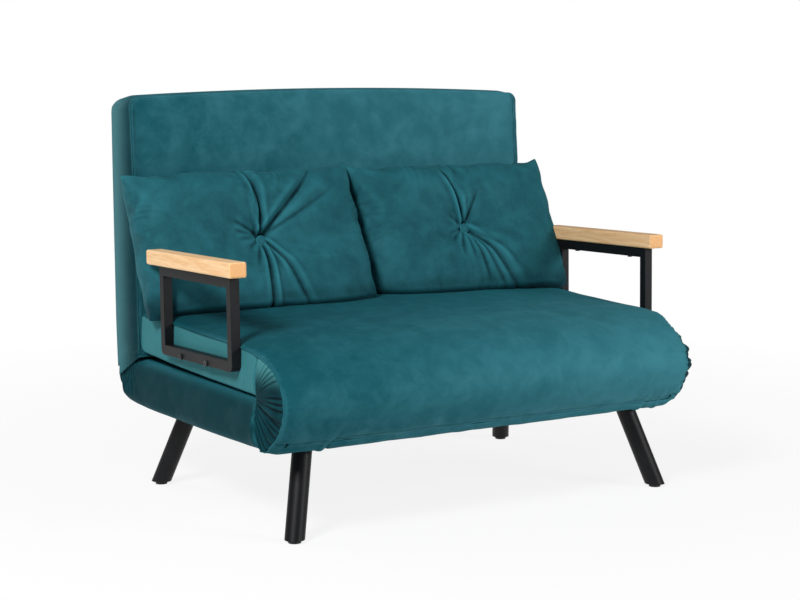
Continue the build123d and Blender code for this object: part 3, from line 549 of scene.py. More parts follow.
velvet_seat = velvet_material(
    "teal_velvet_seat", (4, 76, 87), (58, 126, 138), 0.42, 0.08, above=0.15, to_right=1.0
)
velvet_back = velvet_material(
    "teal_velvet_back", (8, 72, 82), (54, 118, 130), 0.42, 0.1, sides=0.88, to_right=0.6
)
# The seat's side panels are painted pale, with painted light from the left
velvet_side = velvet_material(
    "teal_velvet_side", (8, 74, 86), (42, 116, 129), 0.3, 0.1, sides=0.85, side_colour=(58, 122, 127)
)
velvet_base = velvet_material(
    "teal_velvet_base", (8, 72, 84), (40, 112, 124), 0.5, 0.0, sides=0.88, side_colour=(0, 42, 48), ridges=2.6
)
velvet_roll_end = velvet_material(
    "teal_velvet_roll_end", (6, 60, 68), (20, 86, 94), 0.5, 0.03, ridges=1.2
)
velvet_pillow = velvet_material(
    "teal_velvet_pillow", (0, 26, 34), (44, 118, 130), 0.3, 0.12, above=0.1, ridges=0.8
)


def shade_along(material, axis, start, end, changes):
    """Lets colours of a velvet change along one object axis, each from a colour to a colour."""
    tree = material.node_tree
    nap = next(n for n in tree.nodes if n.type == "GROUP")
    spot = tree.nodes.new("ShaderNodeTexCoord")
    where = tree.nodes.new("ShaderNodeSeparateXYZ")
    tree.links.new(spot.outputs["Object"], where.inputs[0])
    share = remap(tree, where.outputs[axis], start, end)
    for socket, low, high in changes:
        tree.links.new(mix_colours(tree, share, paint(*low), paint(*high)), nap.inputs[socket])


# The roll's end is painted pale above the slit, with the same painted light as the seat's side panels, and
# dark below it
roll_end_deep = ("Deep", (0, 26, 33), (48, 110, 115))
roll_end_pale = ("Pale", (0, 58, 66), (70, 132, 136))
shade_along(velvet_roll_end, "Z", 0.285, 0.335, [roll_end_deep, roll_end_pale])
# The seat is painted paler towards the front, where the light falls, and darker towards the rear, with
# painted shade from the pillows
seat_deep = ("Deep", (12, 76, 86), (0, 56, 66))
seat_pale = ("Pale", (54, 120, 132), (16, 98, 109))
shade_along(velvet_seat, "Y", -0.3, 0.1, [seat_deep, seat_pale])
# The back's side panels get painted shade by the front seam and a paler painted sheen towards the rear
shade_along(velvet_back, "Y", 0.266, 0.35, [("Side Color", (0, 38, 45), (68, 118, 124))])
# Each pillow is darkened towards its bottom with painted shade, where it curves under on to the seat
pillow_deep = ("Deep", (0, 10, 14), (0, 26, 34))
pillow_pale = ("Pale", (12, 66, 76), (44, 118, 130))
shade_along(velvet_pillow, "Z", 0.374, 0.43, [pillow_deep, pillow_pale])
print("velvets", [m.name for m in bpy.data.materials if "velvet" in m.name])

# %% [markdown]
# ## Wood, paint and small finishes
# The arm caps are pale rubberwood. Its long fibres run with the cap, so the
# grain is noise that is stretched along Y, and the cut ends show darker rings
# instead. The steel is powder coated: a dark paint with a faint orange-peel
# skin, rubbed a little paler along the way by use.

# %% Wood
grain, grain_in, grain_out = group_start(
    "wood_grain",
    [
        ("Light", "NodeSocketColor", (0.7, 0.5, 0.3, 1)),
        ("Dark", "NodeSocketColor", (0.5, 0.3, 0.15, 1)),
        ("End", "NodeSocketColor", (0.5, 0.3, 0.15, 1)),
    ],
    [("Color", "NodeSocketColor"), ("Roughness", "NodeSocketFloat"), ("Height", "NodeSocketFloat")],
)
place = grain.nodes.new("ShaderNodeTexCoord")
along = grain.nodes.new("ShaderNodeMapping")
along.inputs["Scale"].default_value = (1, 0.07, 1)
grain.links.new(place.outputs["Object"], along.inputs["Vector"])
bands = noise_node(grain, 95, 5, 0.6, 1.4)
fibres = noise_node(grain, 620, 2)
pores = noise_node(grain, 1500, 1)
for node in (bands, fibres, pores):
    grain.links.new(along.outputs["Vector"], node.inputs["Vector"])
rings = grain.nodes.new("ShaderNodeTexWave")
rings.wave_type = "RINGS"
rings.rings_direction = "Y"
rings.inputs["Scale"].default_value = 42
rings.inputs["Distortion"].default_value = 5
rings.inputs["Detail"].default_value = 2
grain.links.new(place.outputs["Object"], rings.inputs["Vector"])
facing = grain.nodes.new("ShaderNodeNewGeometry")
split = grain.nodes.new("ShaderNodeSeparateXYZ")
grain.links.new(facing.outputs["Normal"], split.inputs[0])
end_share = remap(grain, math_node(grain, "ABSOLUTE", split.outputs["Y"]), 0.7, 0.95)
long_lines = product(grain, remap(grain, bands.outputs["Fac"], 0.3, 0.72), 0.7)
lines = total(grain, long_lines, product(grain, fibres.outputs["Fac"], 0.3))
side_wood = mix_colours(grain, lines, grain_in.outputs["Light"], grain_in.outputs["Dark"])
cut_rings = product(grain, rings.outputs["Fac"], 0.6)
end_wood = mix_colours(grain, cut_rings, grain_in.outputs["End"], grain_in.outputs["Dark"])
height = total(grain, lines, product(grain, pores.outputs["Fac"], 0.4))
grain.links.new(mix_colours(grain, end_share, side_wood, end_wood), grain_out.inputs["Color"])
grain.links.new(remap(grain, lines, 0.0, 1.0, 0.42, 0.58), grain_out.inputs["Roughness"])
grain.links.new(height, grain_out.inputs["Height"])

wood_colours = {"Light": paint(250, 214, 168), "Dark": paint(222, 168, 108), "End": paint(228, 172, 112)}
pale_wood = finish_from("pale_rubberwood", grain, wood_colours, 0.25, 0.0004)[0]
print("wood ready")

# %% Surface wear group
wear, wear_in, wear_out = group_start(
    "paint_wear",
    [
        ("Paint", "NodeSocketColor", (0.02, 0.02, 0.02, 1)),
        ("Rubbed", "NodeSocketColor", (0.05, 0.05, 0.05, 1)),
        ("Skin Scale", "NodeSocketFloat", 700.0),
        ("Gloss", "NodeSocketFloat", 0.4),
    ],
    [("Color", "NodeSocketColor"), ("Roughness", "NodeSocketFloat"), ("Height", "NodeSocketFloat")],
)
place = wear.nodes.new("ShaderNodeTexCoord")
rubs = noise_node(wear, 9, 4, 0.6, 0.4)
skin = noise_node(wear, 700, 2)
wear.links.new(place.outputs["Object"], rubs.inputs["Vector"])
wear.links.new(place.outputs["Object"], skin.inputs["Vector"])
wear.links.new(wear_in.outputs["Skin Scale"], skin.inputs["Scale"])
wear_and_ridge_shade = remap(wear, rubs.outputs["Fac"], 0.45, 0.75)
shade = mix_colours(wear, wear_and_ridge_shade, wear_in.outputs["Paint"], wear_in.outputs["Rubbed"])
roughness = total(wear, wear_in.outputs["Gloss"], product(wear, skin.outputs["Fac"], 0.12))
wear.links.new(shade, wear_out.inputs["Color"])
wear.links.new(roughness, wear_out.inputs["Roughness"])
wear.links.new(skin.outputs["Fac"], wear_out.inputs["Height"])


def coated(name, colour, rubbed, gloss, metallic=0.0, skin_scale=700.0, bump=0.15, shine=0.5):
    """A plain finish with a little wear: paint, zinc, rubber, plastic or coarse inner cloth."""
    values = {"Paint": paint(*colour), "Rubbed": paint(*rubbed), "Gloss": gloss, "Skin Scale": skin_scale}
    made, shader = finish_from(name, wear, values, bump, 0.0003)
    shader.inputs["Metallic"].default_value = metallic
    shader.inputs["Specular IOR Level"].default_value = shine
    return made


arm_paint = coated("arm_steel_paint", (17, 18, 21), (26, 26, 28), 0.42, shine=0.22)
leg_paint = coated("leg_steel_paint", (10, 11, 14), (18, 19, 22), 0.42, shine=0.22)
frame_paint = coated("frame_steel_paint", (26, 27, 29), (38, 38, 40), 0.42)
zinc = coated("zinc_plate", (178, 178, 176), (206, 205, 200), 0.26, metallic=1.0, skin_scale=300.0)
black_bolt = coated("blackened_bolt", (16, 17, 18), (70, 72, 74), 0.3, metallic=0.4, skin_scale=400.0)
glide_plastic = coated("glide_plastic", (20, 20, 22), (34, 34, 36), 0.5, skin_scale=500.0)
sleeve_rubber = coated("sleeve_rubber", (22, 22, 23), (36, 36, 37), 0.68, skin_scale=400.0)
lining = coated("lining_cloth", (20, 21, 22), (34, 35, 36), 0.8, skin_scale=900.0, bump=0.6)
webbing = coated("webbing_cloth", (34, 34, 36), (60, 60, 62), 0.78, skin_scale=260.0, bump=0.6)
print("plain finishes ready")

# %% [markdown]
# ## Finishes on the CAD parts
# The rigid parts already have their right shapes, so they only need a finish.
# Each node takes the material that its slot in the record asks for. The bolts
# and screws that show on the arms are the exception: they are blackened, and
# the zinc is kept for those inside.

# %% Dress the CAD nodes
finish_for = {
    "arm_steel": arm_paint,
    "leg_steel": leg_paint,
    "frame_steel": frame_paint,
    "zinc_fixings": zinc,
    "glide_plastic": glide_plastic,
    "sleeve_rubber": sleeve_rubber,
    "dust_cloth": lining,
    "webbing": webbing,
    "arm_wood": pale_wood,
    "velvet_seat": velvet_seat,
    "velvet_back": velvet_back,
    "velvet_pillow": velvet_pillow,
}


def dress(node_name, finish):
    """Gives every material slot of a CAD node one finish."""
    for slot in frame["nodes"][node_name].material_slots:
        slot.material = finish


for part in frame["record"]["subparts"]:
    dress(part["node"], finish_for[part["material_slot"]])
for name in ("arm_bolts", "arm_cap_screws"):
    dress(name, black_bolt)

# %% [markdown]
# ## The outline of the upholstery
# From the side, the top cover runs along the seat, turns down over the padded
# roll and ends in a hem under it. This line is drawn once, from a few corners
# that a smooth curve passes through, and the cover, the roll's round ends and
# the piping all use it, so that their seams meet.

# %% Side outline of seat and roll
HALF = 475.0
MOST_DRAWN_IN = 26.0
COVER_LINE = smooth_line(
    [
        (231, 357), (160, 361), (84, 360), (6, 357), (-70, 355.5), (-145, 354), (-209, 351), (-262, 345),
        (-318, 329), (-350, 305), (-366, 273), (-361, 236), (-342, 206), (-309, 181),
    ],
    400,
)
steps_along = np.diff(COVER_LINE, axis=0)
COVER_LENGTH = float(np.linalg.norm(steps_along, axis=1).sum())
slope = np.gradient(COVER_LINE, axis=0)
COVER_OUT = np.stack([slope[:, 1], -slope[:, 0]], 1) / np.linalg.norm(slope, axis=1)[:, None]
if COVER_OUT[0, 1] < 0:
    COVER_OUT = -COVER_OUT


def cover_at(share):
    """Place (y, z) and outward direction on the side outline, from 0 at the rear to 1 at the hem."""
    at = np.linspace(0, 1, len(COVER_LINE))
    return (
        np.interp(share, at, COVER_LINE[:, 0]),
        np.interp(share, at, COVER_LINE[:, 1]),
        np.interp(share, at, COVER_OUT[:, 0]),
        np.interp(share, at, COVER_OUT[:, 1]),
    )


def share_where(y_value):
    """Share along the outline where it first comes forward to y_value."""
    upper = COVER_LINE[: len(COVER_LINE) * 3 // 4, 0]
    return float(np.interp(-y_value, -upper, np.linspace(0, 1, len(COVER_LINE))[: len(upper)]))


def drawn_in(x, y, z):
    """How much narrower the roll is at its right-hand end, where the cover was pulled tight."""
    most = MOST_DRAWN_IN * np.clip(x / HALF, 0, 1) ** 2
    return most * ramp(-y, 232, 340) * (0.25 + 0.75 * ramp(z, 172, 225))


ROLL_START = share_where(-209)
print("cover", round(COVER_LENGTH), "mm long, the roll starts at", round(ROLL_START, 3))

# %% [markdown]
# ## Seat and roll cover
# One piece of velvet covers the seat and the roll. It could be made as two
# pads, but the real cloth has no seam between them, and its smooth turn over
# the front edge is what makes this sofa look soft. So it is one sheet, shaped
# round the front edge. It rises quickly from its side seams, then lies nearly
# level, and at the roll's ends small gathers run in from the seam.

# %% Cover sheet
STITCH_LINE = 21.0
COVER_TUCKS = ((-362, 8, 3.0), (-348, 6, -2.4), (388, 5, 1.8), (399, 5, -1.8), (431, 6, 2.0))


def tucks_at(x, tucks):
    """Small folds across a hem. Each tuck is a place, a width and a height."""
    return sum(height * bump_at(x, place, width) for place, width, height in tucks)


def cover_place(u, v):
    across = crowd(2 * u - 1, 0.55)
    x = HALF * across
    inward = HALF - np.abs(x)
    y, z, out_y, out_z = cover_at(v)
    run = v * COVER_LENGTH
    on_roll = ramp(v, ROLL_START - 0.06, ROLL_START + 0.12)
    edge_width = 70 - 26 * on_roll + 45 * (x > 0) * ramp(v, 0.3, 0.62)
    edge_height = np.interp(v, [0, 0.6, 0.8, 0.97, 1], [8, 8, 6, 3, 0.5])
    crown = np.interp(v, [0, 0.3, 0.58, 0.72, 0.85, 0.95, 1], [9, 12, 10, 5, 3, 1.5, 0])
    rise = swell(inward, edge_width, edge_height) + crown * (1 - (across**2) ** 1.6)
    gather = on_roll * ramp(1 - v, 0.0, 0.05) * np.where(x > 0, 1.35, 1.0)
    pulls = sharp_folds(run / 17 + 1.3 * wobble(run / 38, 0 * run, 3), 0.7, 0.6)
    rise = rise + 1.9 * gather * pulls * np.exp(-inward / 15)
    rise = rise + 1.1 * gather * wobble(run / 24, inward / 60, 7) * np.exp(-inward / 45)
    rise = rise + 1.1 * wobble(x / 150, run / 120, 11) + 0.5 * wobble(x / 52, run / 60, 12)
    rise = rise + ramp(v, 0.9, 0.985) * (1.7 * wobble(x / 26, 0 * x, 21) + tucks_at(x, COVER_TUCKS))
    rise = rise - 3.2 * bump_at(run, COVER_LENGTH - STITCH_LINE, 3.6) - 0.8 * ramp(v, 0.992, 1.0)
    return x - drawn_in(x, y, z), y + rise * out_y, z + rise * out_z


top_cover = cloth_sheet("seat_and_roll_cover", 150, 190, cover_place)

# %% [markdown]
# The steel arms of the front hinge pass through the cover's lower edge when
# the seat is turned over. A real cover is slit there. Faces could be deleted
# by hand, but that leaves the cloth open, so a thin cube is cut away near
# each end with a Boolean, which closes the cloth round the slit.

# %% Slits for the hinge arms
SLIT_Y, SLIT_Z = (-336.7, -298.3), (165.0, 200.8)


def cut_slit(piece, x, y_span, z_span, width=5.6):
    """Cuts a slit through a piece, for a steel arm that swings through its end."""
    deselect()
    middle = (x, sum(y_span) / 2, sum(z_span) / 2)
    bpy.ops.mesh.primitive_cube_add(size=1, location=[v * MM for v in middle])
    cutter = bpy.context.object
    cutter.scale = (width * MM, (y_span[1] - y_span[0]) * MM, (z_span[1] - z_span[0]) * MM)
    apply_modifier(piece, "BOOLEAN", operation="DIFFERENCE", object=cutter, solver="EXACT")
    bpy.data.objects.remove(cutter)
    print("slit at", x, "leaves", len(piece.data.polygons), "faces")


for x in (-448.0, 447.6):
    cut_slit(top_cover, x, SLIT_Y, SLIT_Z)
top_cover.data.materials.append(velvet_seat)

# %% [markdown]
# ## Round ends of the roll
# Each end of the roll is a half-moon of velvet. When the bed is folded up,
# its cloth is bunched between the sections, so the folds fan out from the end
# of the slit to the piped seam. The block helper gives a closed solid with
# the outline of the roll, and its two ends are then pushed in and out along
# the fan. The right end is drawn in and stands out in a frill, where the
# cover was pulled tight. The flat inner face is plain seat velvet, because
# the open bed shows it.

# %% Fan of folds
FAN = (-246.0, 265.0)
ROLL_BACK = -266.0
ROLL_MIDDLE_Z = 258.0
under_roll = smooth_line([(-309, 181), (-290, 171), (ROLL_BACK, 168.5)], 30)[1:]
END_LINE = np.vstack([COVER_LINE[COVER_LINE[:, 0] < ROLL_BACK], under_roll])
around = np.degrees(np.arctan2(END_LINE[:, 1] - FAN[1], FAN[0] - END_LINE[:, 0]))
reach = np.hypot(END_LINE[:, 1] - FAN[1], FAN[0] - END_LINE[:, 0])


def fan_folds(y, z, hand):
    """How far the side cloth stands out at y, z. hand is -1 for the left end and 1 for the right."""
    turn = np.degrees(np.arctan2(z - FAN[1], FAN[0] - y))
    out = np.hypot(z - FAN[1], FAN[0] - y)
    rim = np.interp(-turn, -around, reach)
    share = np.clip(out / rim, 0, 1)
    turn = turn + 14 * np.sin(out / 70) * bump_at(turn, -50, 50)
    forward = ramp(out * np.cos(np.radians(np.clip(turn, -90, 90))), -6, 16)
    puff = 7.0 * np.sin(pi * share**0.8) * forward
    low_fan = ramp(turn, -104, -88) * ramp(-turn, -4, 14)
    long_phase = turn / 11.5 + 0.55 * wobble(turn / 21, out / 90, 31 + hand)
    long_folds = 7.5 * low_fan * sharp_folds(long_phase, 0.65, 0.62) * ramp(out, 8, 40)
    up_fan = ramp(turn, -28, -8) * ramp(-turn, -66, -46)
    short_phase = turn / 7.4 + 0.7 * wobble(turn / 13, out / 80, 37 + hand)
    short_folds = 4.8 * up_fan * sharp_folds(short_phase, 0.7, 0.6) * ramp(share, 0.42, 0.75)
    soft = 1.6 * up_fan * wobble(turn / 16, out / 50, 41 + hand) * ramp(share, 0.2, 0.5)
    rim_tuck = -3.2 * ramp(share, 0.93, 1.0) * forward
    if hand > 0:
        frill_phase = turn / 12.5 + 0.5 * wobble(turn / 17, 0 * turn, 45)
        frill = 22 + 12 * sharp_folds(frill_phase, 0.8, 0.0)
        rim_tuck = rim_tuck + frill * bump_at(share, 0.8, 0.2) * bump_at(turn, 2, 50) * forward
    return puff + long_folds + short_folds + soft + rim_tuck


def round_section(b, c, line, middle):
    """Spreads the square b, c over the half-moon inside line, seen from the point middle on its flat side."""
    forward, up = (1 - b) / 2, c
    share = np.maximum(forward, np.abs(up))
    turn = np.arctan2(up, forward)
    at = np.clip(0.5 - turn / pi, 0, 1)
    line_at = np.linspace(0, 1, len(line))
    rim_y, rim_z = np.interp(at, line_at, line[:, 0]), np.interp(at, line_at, line[:, 1])
    return middle[0] + share * (rim_y - middle[0]), middle[1] + share * (rim_z - middle[1])


def roll_place(a, b, c):
    y, z = round_section(b, c, END_LINE, (ROLL_BACK, ROLL_MIDDLE_Z))
    stands = np.where(a > 0, fan_folds(y, z, 1), fan_folds(y, z, -1))
    x = a * (HALF - 1.0) + np.sign(a) * ramp(np.abs(a), 0.96, 1.0) * stands
    sink = np.where(np.abs(a) < AT_FACE, 8.0, 0.0)
    y = y + sink * ramp(ROLL_BACK - y, 2, 30)
    z = z - sink * np.sign(z - ROLL_MIDDLE_Z) * ramp(ROLL_BACK - y, 2, 30)
    return x - drawn_in(a * HALF, y, z), y, z


roll_body = padded_block("roll_body", (44, 40, 84), roll_place)
roll_body.data.materials.append(velvet_roll_end)
roll_body.data.materials.append(velvet_seat)
for face in roll_body.data.polygons:
    if abs(face.normal.x) < 0.5 and abs(face.center.x) < 0.97 * HALF * MM:
        face.material_index = 1

# %% [markdown]
# ## Seat sides and underside
# Under the top cover, the seat is a foam slab whose side panels are sewn to
# it. They are painted paler, with painted light from the left. The lower edge
# is rounded, and that makes the dark slit over the base. The underside is the
# sleeping surface of the bed.

# %% Seat slab
SEAT_FRONT, SEAT_REAR = -262.0, 248.5
SEAT_CORNER = 24.0
SEAT_INSIDE = HALF - 10


def slit_low(y):
    """Height of the seat's lower edge over the slit."""
    return np.interp(y, [-262, -100, 120, 246], [267.5, 269.5, 275, 281])


def seam_z(y):
    """Height of the seam between the side panel and the top cover."""
    upper = COVER_LINE[:, 0] > -300
    return np.interp(y, COVER_LINE[upper][::-1, 0], COVER_LINE[upper][::-1, 1])


def seat_place(a, b, c):
    t = (crowd(c, 0.5) + 1) / 2
    rear = SEAT_REAR - 9 * t**1.5
    y = SEAT_FRONT + (crowd(b, 0.3) + 1) / 2 * (rear - SEAT_FRONT)
    low, high = slit_low(y), seam_z(y) - 1.5
    z = low + t * (high - low)
    in_y = np.clip((y - (rear - SEAT_CORNER)) / SEAT_CORNER, 0, 1)
    in_z = np.clip((low + SEAT_CORNER - z) / SEAT_CORNER, 0, 1)
    corner, turn = np.maximum(in_y, in_z), np.arctan2(in_z, in_y)
    both = (in_y > 0) & (in_z > 0)
    y = np.where(both, rear - SEAT_CORNER + SEAT_CORNER * corner * np.cos(turn), y)
    z = np.where(both, low + SEAT_CORNER - SEAT_CORNER * corner * np.sin(turn), z)
    bulge = 3.0 * np.sin(pi * t) * ramp(236 - y, 0, 60)
    fan = fan_folds(y, z, -1) * ramp(-236 - y, -8, 24)
    creases = 1.6 * bump_at(y, -226 + 0.0016 * (z - 300) ** 2, 2.6)
    creases = creases + 1.2 * bump_at(y, -214 + 0.0022 * (z - 296) ** 2, 2.4)
    creases = creases * ramp(338 - z, 0, 20) * ramp(z - 272, 0, 10)
    drape = 0.9 * wobble(y / 55, z / 40, 51 + np.sign(a)) - creases
    stands = HALF - 1 + bulge - rounded_edge(z - low, 9) + fan + drape
    side = np.abs(a) > AT_FACE
    within = np.clip(crowd(a, 0.3) * SEAT_INSIDE, -SEAT_INSIDE, SEAT_INSIDE)
    x = np.where(side, np.sign(a) * stands, within)
    under = (c < -AT_FACE) & ~side
    return x, y, np.where(under, z - 0.3 * swell(HALF - np.abs(x), 60, 2.0), z)


seat_slab = padded_block("seat_slab", (40, 130, 26), seat_place)
seat_slab.data.materials.append(velvet_side)

# %% [markdown]
# ## Base section
# The base is a flat foam slab over the steel frame. Its velvet wraps under
# the edge by two fingers' width, and a thin dark lining closes the rest, which
# is the CAD's own piece. Its rear end is rounded about the rear hinge, so that
# the back can roll over it.

# %% Base slab
BASE_FRONT, BASE_REAR = -262.0, 355.0
BASE_TOP = 263.5
BASE_INSIDE = HALF - 9
ROUND_Y, ROUND_Z, ROUND_OUT = 305.0, 217.0, 51.8
LINING_HALF, LINING_FRONT, LINING_REAR = 438.0, -238.0, 250.0
LINING_RECESS = 12.5


def base_place(a, b, c):
    t = (crowd(c, 0.5) + 1) / 2
    y = BASE_FRONT + (crowd(b, 0.35) + 1) / 2 * (BASE_REAR - BASE_FRONT)
    low = np.interp(y, [-262, -200, 0, 240, 305, 356], [167, 164.5, 161.5, 161.5, 164, 167])
    z = low + t * (BASE_TOP - low)
    reach_z = np.where(z > ROUND_Z, BASE_TOP - ROUND_Z, ROUND_Z - low)
    share_y, share_z = np.clip((y - ROUND_Y) / 50, 0, 1), (z - ROUND_Z) / reach_z
    outer, turn = np.maximum(share_y, np.abs(share_z)), np.arctan2(share_z, share_y)
    rounded = y > ROUND_Y
    y = np.where(rounded, ROUND_Y + ROUND_OUT * outer * np.cos(turn), y)
    z = np.where(rounded, ROUND_Z + reach_z * outer * np.sin(turn), z)
    hand = np.sign(a)
    fan = fan_folds(y, z, -1) * ramp(-236 - y, -8, 24)
    sag = 6.5 * np.sin(pi * t) * ramp(320 - y, 0, 90)
    drape = 1.3 * wobble(y / 60, z / 45, 61 + hand) + 0.5 * wobble(y / 22, z / 30, 62 + hand)
    gathers = sharp_folds(y / 14 + 0.7 * wobble(y / 31, z / 50, 63 + hand), 0.7, 0.55)
    drape = drape + 6.5 * gathers * ramp(y, 236, 300) * ramp(z, 172, 200)
    stands = HALF - 1.5 + sag - rounded_edge(BASE_TOP - z, 14) - rounded_edge(z - low, 20)
    stands = stands + fan + drape * ramp(y, -250, -180)
    side = np.abs(a) > AT_FACE
    x = np.where(side, hand * stands, np.clip(crowd(a, 0.5) * BASE_INSIDE, -BASE_INSIDE, BASE_INSIDE))
    recess = ramp(LINING_HALF - np.abs(x), 0, 4)
    recess = recess * ramp(y - LINING_FRONT, 0, 5) * ramp(LINING_REAR - y, 0, 5)
    under = (c < -AT_FACE) & ~side
    return x, y, np.where(under, z + LINING_RECESS * recess, z)


base_slab = padded_block("base_slab", (60, 130, 22), base_place)
base_slab.data.materials.append(velvet_base)

# %% [markdown]
# ## Hem
# One row of stitches presses a groove into the cover two centimetres above
# its edge. From that edge a band of the same velvet is drawn under the roll
# and fixed to the base. It is a sheet of its own, between the base and the
# roll. Small tucks show where the band was eased in.

# %% Hem band
HEM_LINE = smooth_line(
    [(-310.5, 180.5), (-304, 173), (-295, 166.5), (-286, 163.5), (-277, 165), (-268, 170)], 60
)
HEM_TUCKS = ((-362, 6, 3.8), (-350, 5, -3.4), (388, 5, 3.0), (398, 5, -3.0), (431, 6, 3.0))


def hem_place(u, v):
    x = (2 * u - 1) * (HALF - 1)
    at = np.linspace(0, 1, len(HEM_LINE))
    y, z = np.interp(v, at, HEM_LINE[:, 0]), np.interp(v, at, HEM_LINE[:, 1])
    ends = ramp(HALF - np.abs(x), 0, 30 - 14 * (x > 0))
    ease = ramp(v, 0.0, 0.25) * ramp(1 - v, 0.0, 0.3)
    wave = 0.9 * wobble(x / 24, v * 1.5, 71) + 0.5 * wobble(x / 60, 0 * v, 72)
    rise = (wave + tucks_at(x, HEM_TUCKS)) * ease + 0.6 * ramp(v, 0.0, 0.08) - 0.6
    lift = (1 - ends) * 6
    return x - drawn_in(x, y, z), y - 0.75 * rise, z - 0.65 * rise + lift * ease


hem = cloth_sheet("hem_band", 260, 18, hem_place, thickness=1.6)
hem.data.materials.append(velvet_seat)

# %% [markdown]
# ## Piping
# The seams of the seat and the roll are piped: a thin cord is sewn into a
# strip of velvet. A line of points along the seam is given a round section
# and made a mesh. On the roll the cord wavers a little, because the gathers
# push it about.

# %% Piping helpers
def piping(name, line, radius, finish, sides=4):
    """A sewn cord: a round tube along points in millimetres."""
    path = bpy.data.curves.new(name, "CURVE")
    path.dimensions = "3D"
    run = path.splines.new("POLY")
    run.points.add(len(line) - 1)
    rows = np.hstack([np.array(line) * MM, np.ones((len(line), 1))])
    run.points.foreach_set("co", rows.astype(np.float32).ravel())
    path.bevel_depth = radius * MM
    path.bevel_resolution = sides - 2
    path.use_fill_caps = True
    tube = bpy.data.objects.new(name, path)
    bpy.context.collection.objects.link(tube)
    pick(tube)
    bpy.ops.object.convert(target="MESH")
    tube = bpy.context.object
    tube.data.materials.clear()
    tube.data.materials.append(finish)
    smooth_shade(tube)
    print(name, len(tube.data.polygons), "faces")
    return tube


def joined(name, pieces):
    """Several pieces made one, under a new name."""
    pick(pieces[0])
    for piece in pieces:
        piece.select_set(True)
    bpy.ops.object.join()
    whole = bpy.context.object
    whole.name = whole.data.name = name
    return whole


def roll_piping(hand):
    """Points of the piping round one end of the seat and roll."""
    share = np.linspace(0.02, 1.0, 420)
    y, z, out_y, out_z = cover_at(share)
    run = share * COVER_LENGTH
    on_roll = ramp(share, ROLL_START - 0.02, ROLL_START + 0.1)
    shuffle = on_roll * (0.8 + 0.5 * (hand > 0)) * wobble(run / 11, 0 * run, 81 + hand)
    x = hand * (HALF + 0.4 + shuffle)
    out = 0.2 + 0.7 * on_roll * wobble(run / 13, 0 * run, 83 + hand)
    return np.stack([x - drawn_in(x, y, z), y + out * out_y, z + out * out_z], 1)


pipes = [piping(f"pipe_{hand}", roll_piping(hand), 2.3, velvet_seat) for hand in (-1, 1)]
roll_pipes = joined("seat_piping", pipes)
print("piping", roll_pipes.name)

# %% [markdown]
# ## Back section
# The back is a tall box cushion. Its panels rise from their seams, most at
# the front, and the top edge is a shallow arch with rounded corners. Below,
# it is hollowed out round the rear hinge, so that it can lie down over the
# base, and behind it has a bay for the folded leg. One closed block makes all
# of that, so no panel can come apart when the back moves.

# %% Back outline
HINGE_Y, HINGE_Z = 305.0, 220.0
BACK_HALF = 479.0
CORNER = 18.0
CORNER_LOST = 8.0
PANEL_EDGE, PANEL_RISE = 34.0, 5.5


def back_front_line(z):
    """Where the front seams lie in Y, at a height."""
    return np.interp(z, [270, 389, 646, 797], [249.8, 253.5, 266.5, 278])


def back_rear_line(z):
    """Where the rear seams lie in Y, at a height."""
    return np.interp(z, [222, 262, 334, 640, 768, 790], [354.5, 358, 361.5, 364.5, 365, 359])


def back_bottom(y):
    """Height of the underside, which is hollowed out round the hinge."""
    hollow = HINGE_Z + np.sqrt(np.maximum(52.5**2 - (y - HINGE_Y) ** 2, 0))
    return np.where(y < 281.5, 270 - (y - 250) * 0.08, hollow)


def back_top(x, s):
    """Height of the arched top, where s runs from 0 in front to 1 behind."""
    fall = 5 * s**2 + 6 * np.clip((s - 0.8) / 0.2, 0, 1) ** 2
    return 796.5 - fall + 11.5 * (1 - (x / BACK_HALF) ** 2)


def round_top_corner(x, z, top, s):
    """Pulls the square upper corners in to round ones, rounder in front than behind."""
    radius = CORNER - CORNER_LOST * s
    over_x = np.clip((np.abs(x) - (BACK_HALF - radius)) / radius, 0, 1)
    over_z = np.clip((z - (top - radius)) / radius, 0, 1)
    out, turn = np.maximum(over_x, over_z), np.arctan2(over_z, over_x)
    both = (over_x > 0) & (over_z > 0)
    x = np.where(both, np.sign(x) * (BACK_HALF - radius + radius * out * np.cos(turn)), x)
    return x, np.where(both, top - radius + radius * out * np.sin(turn), z)


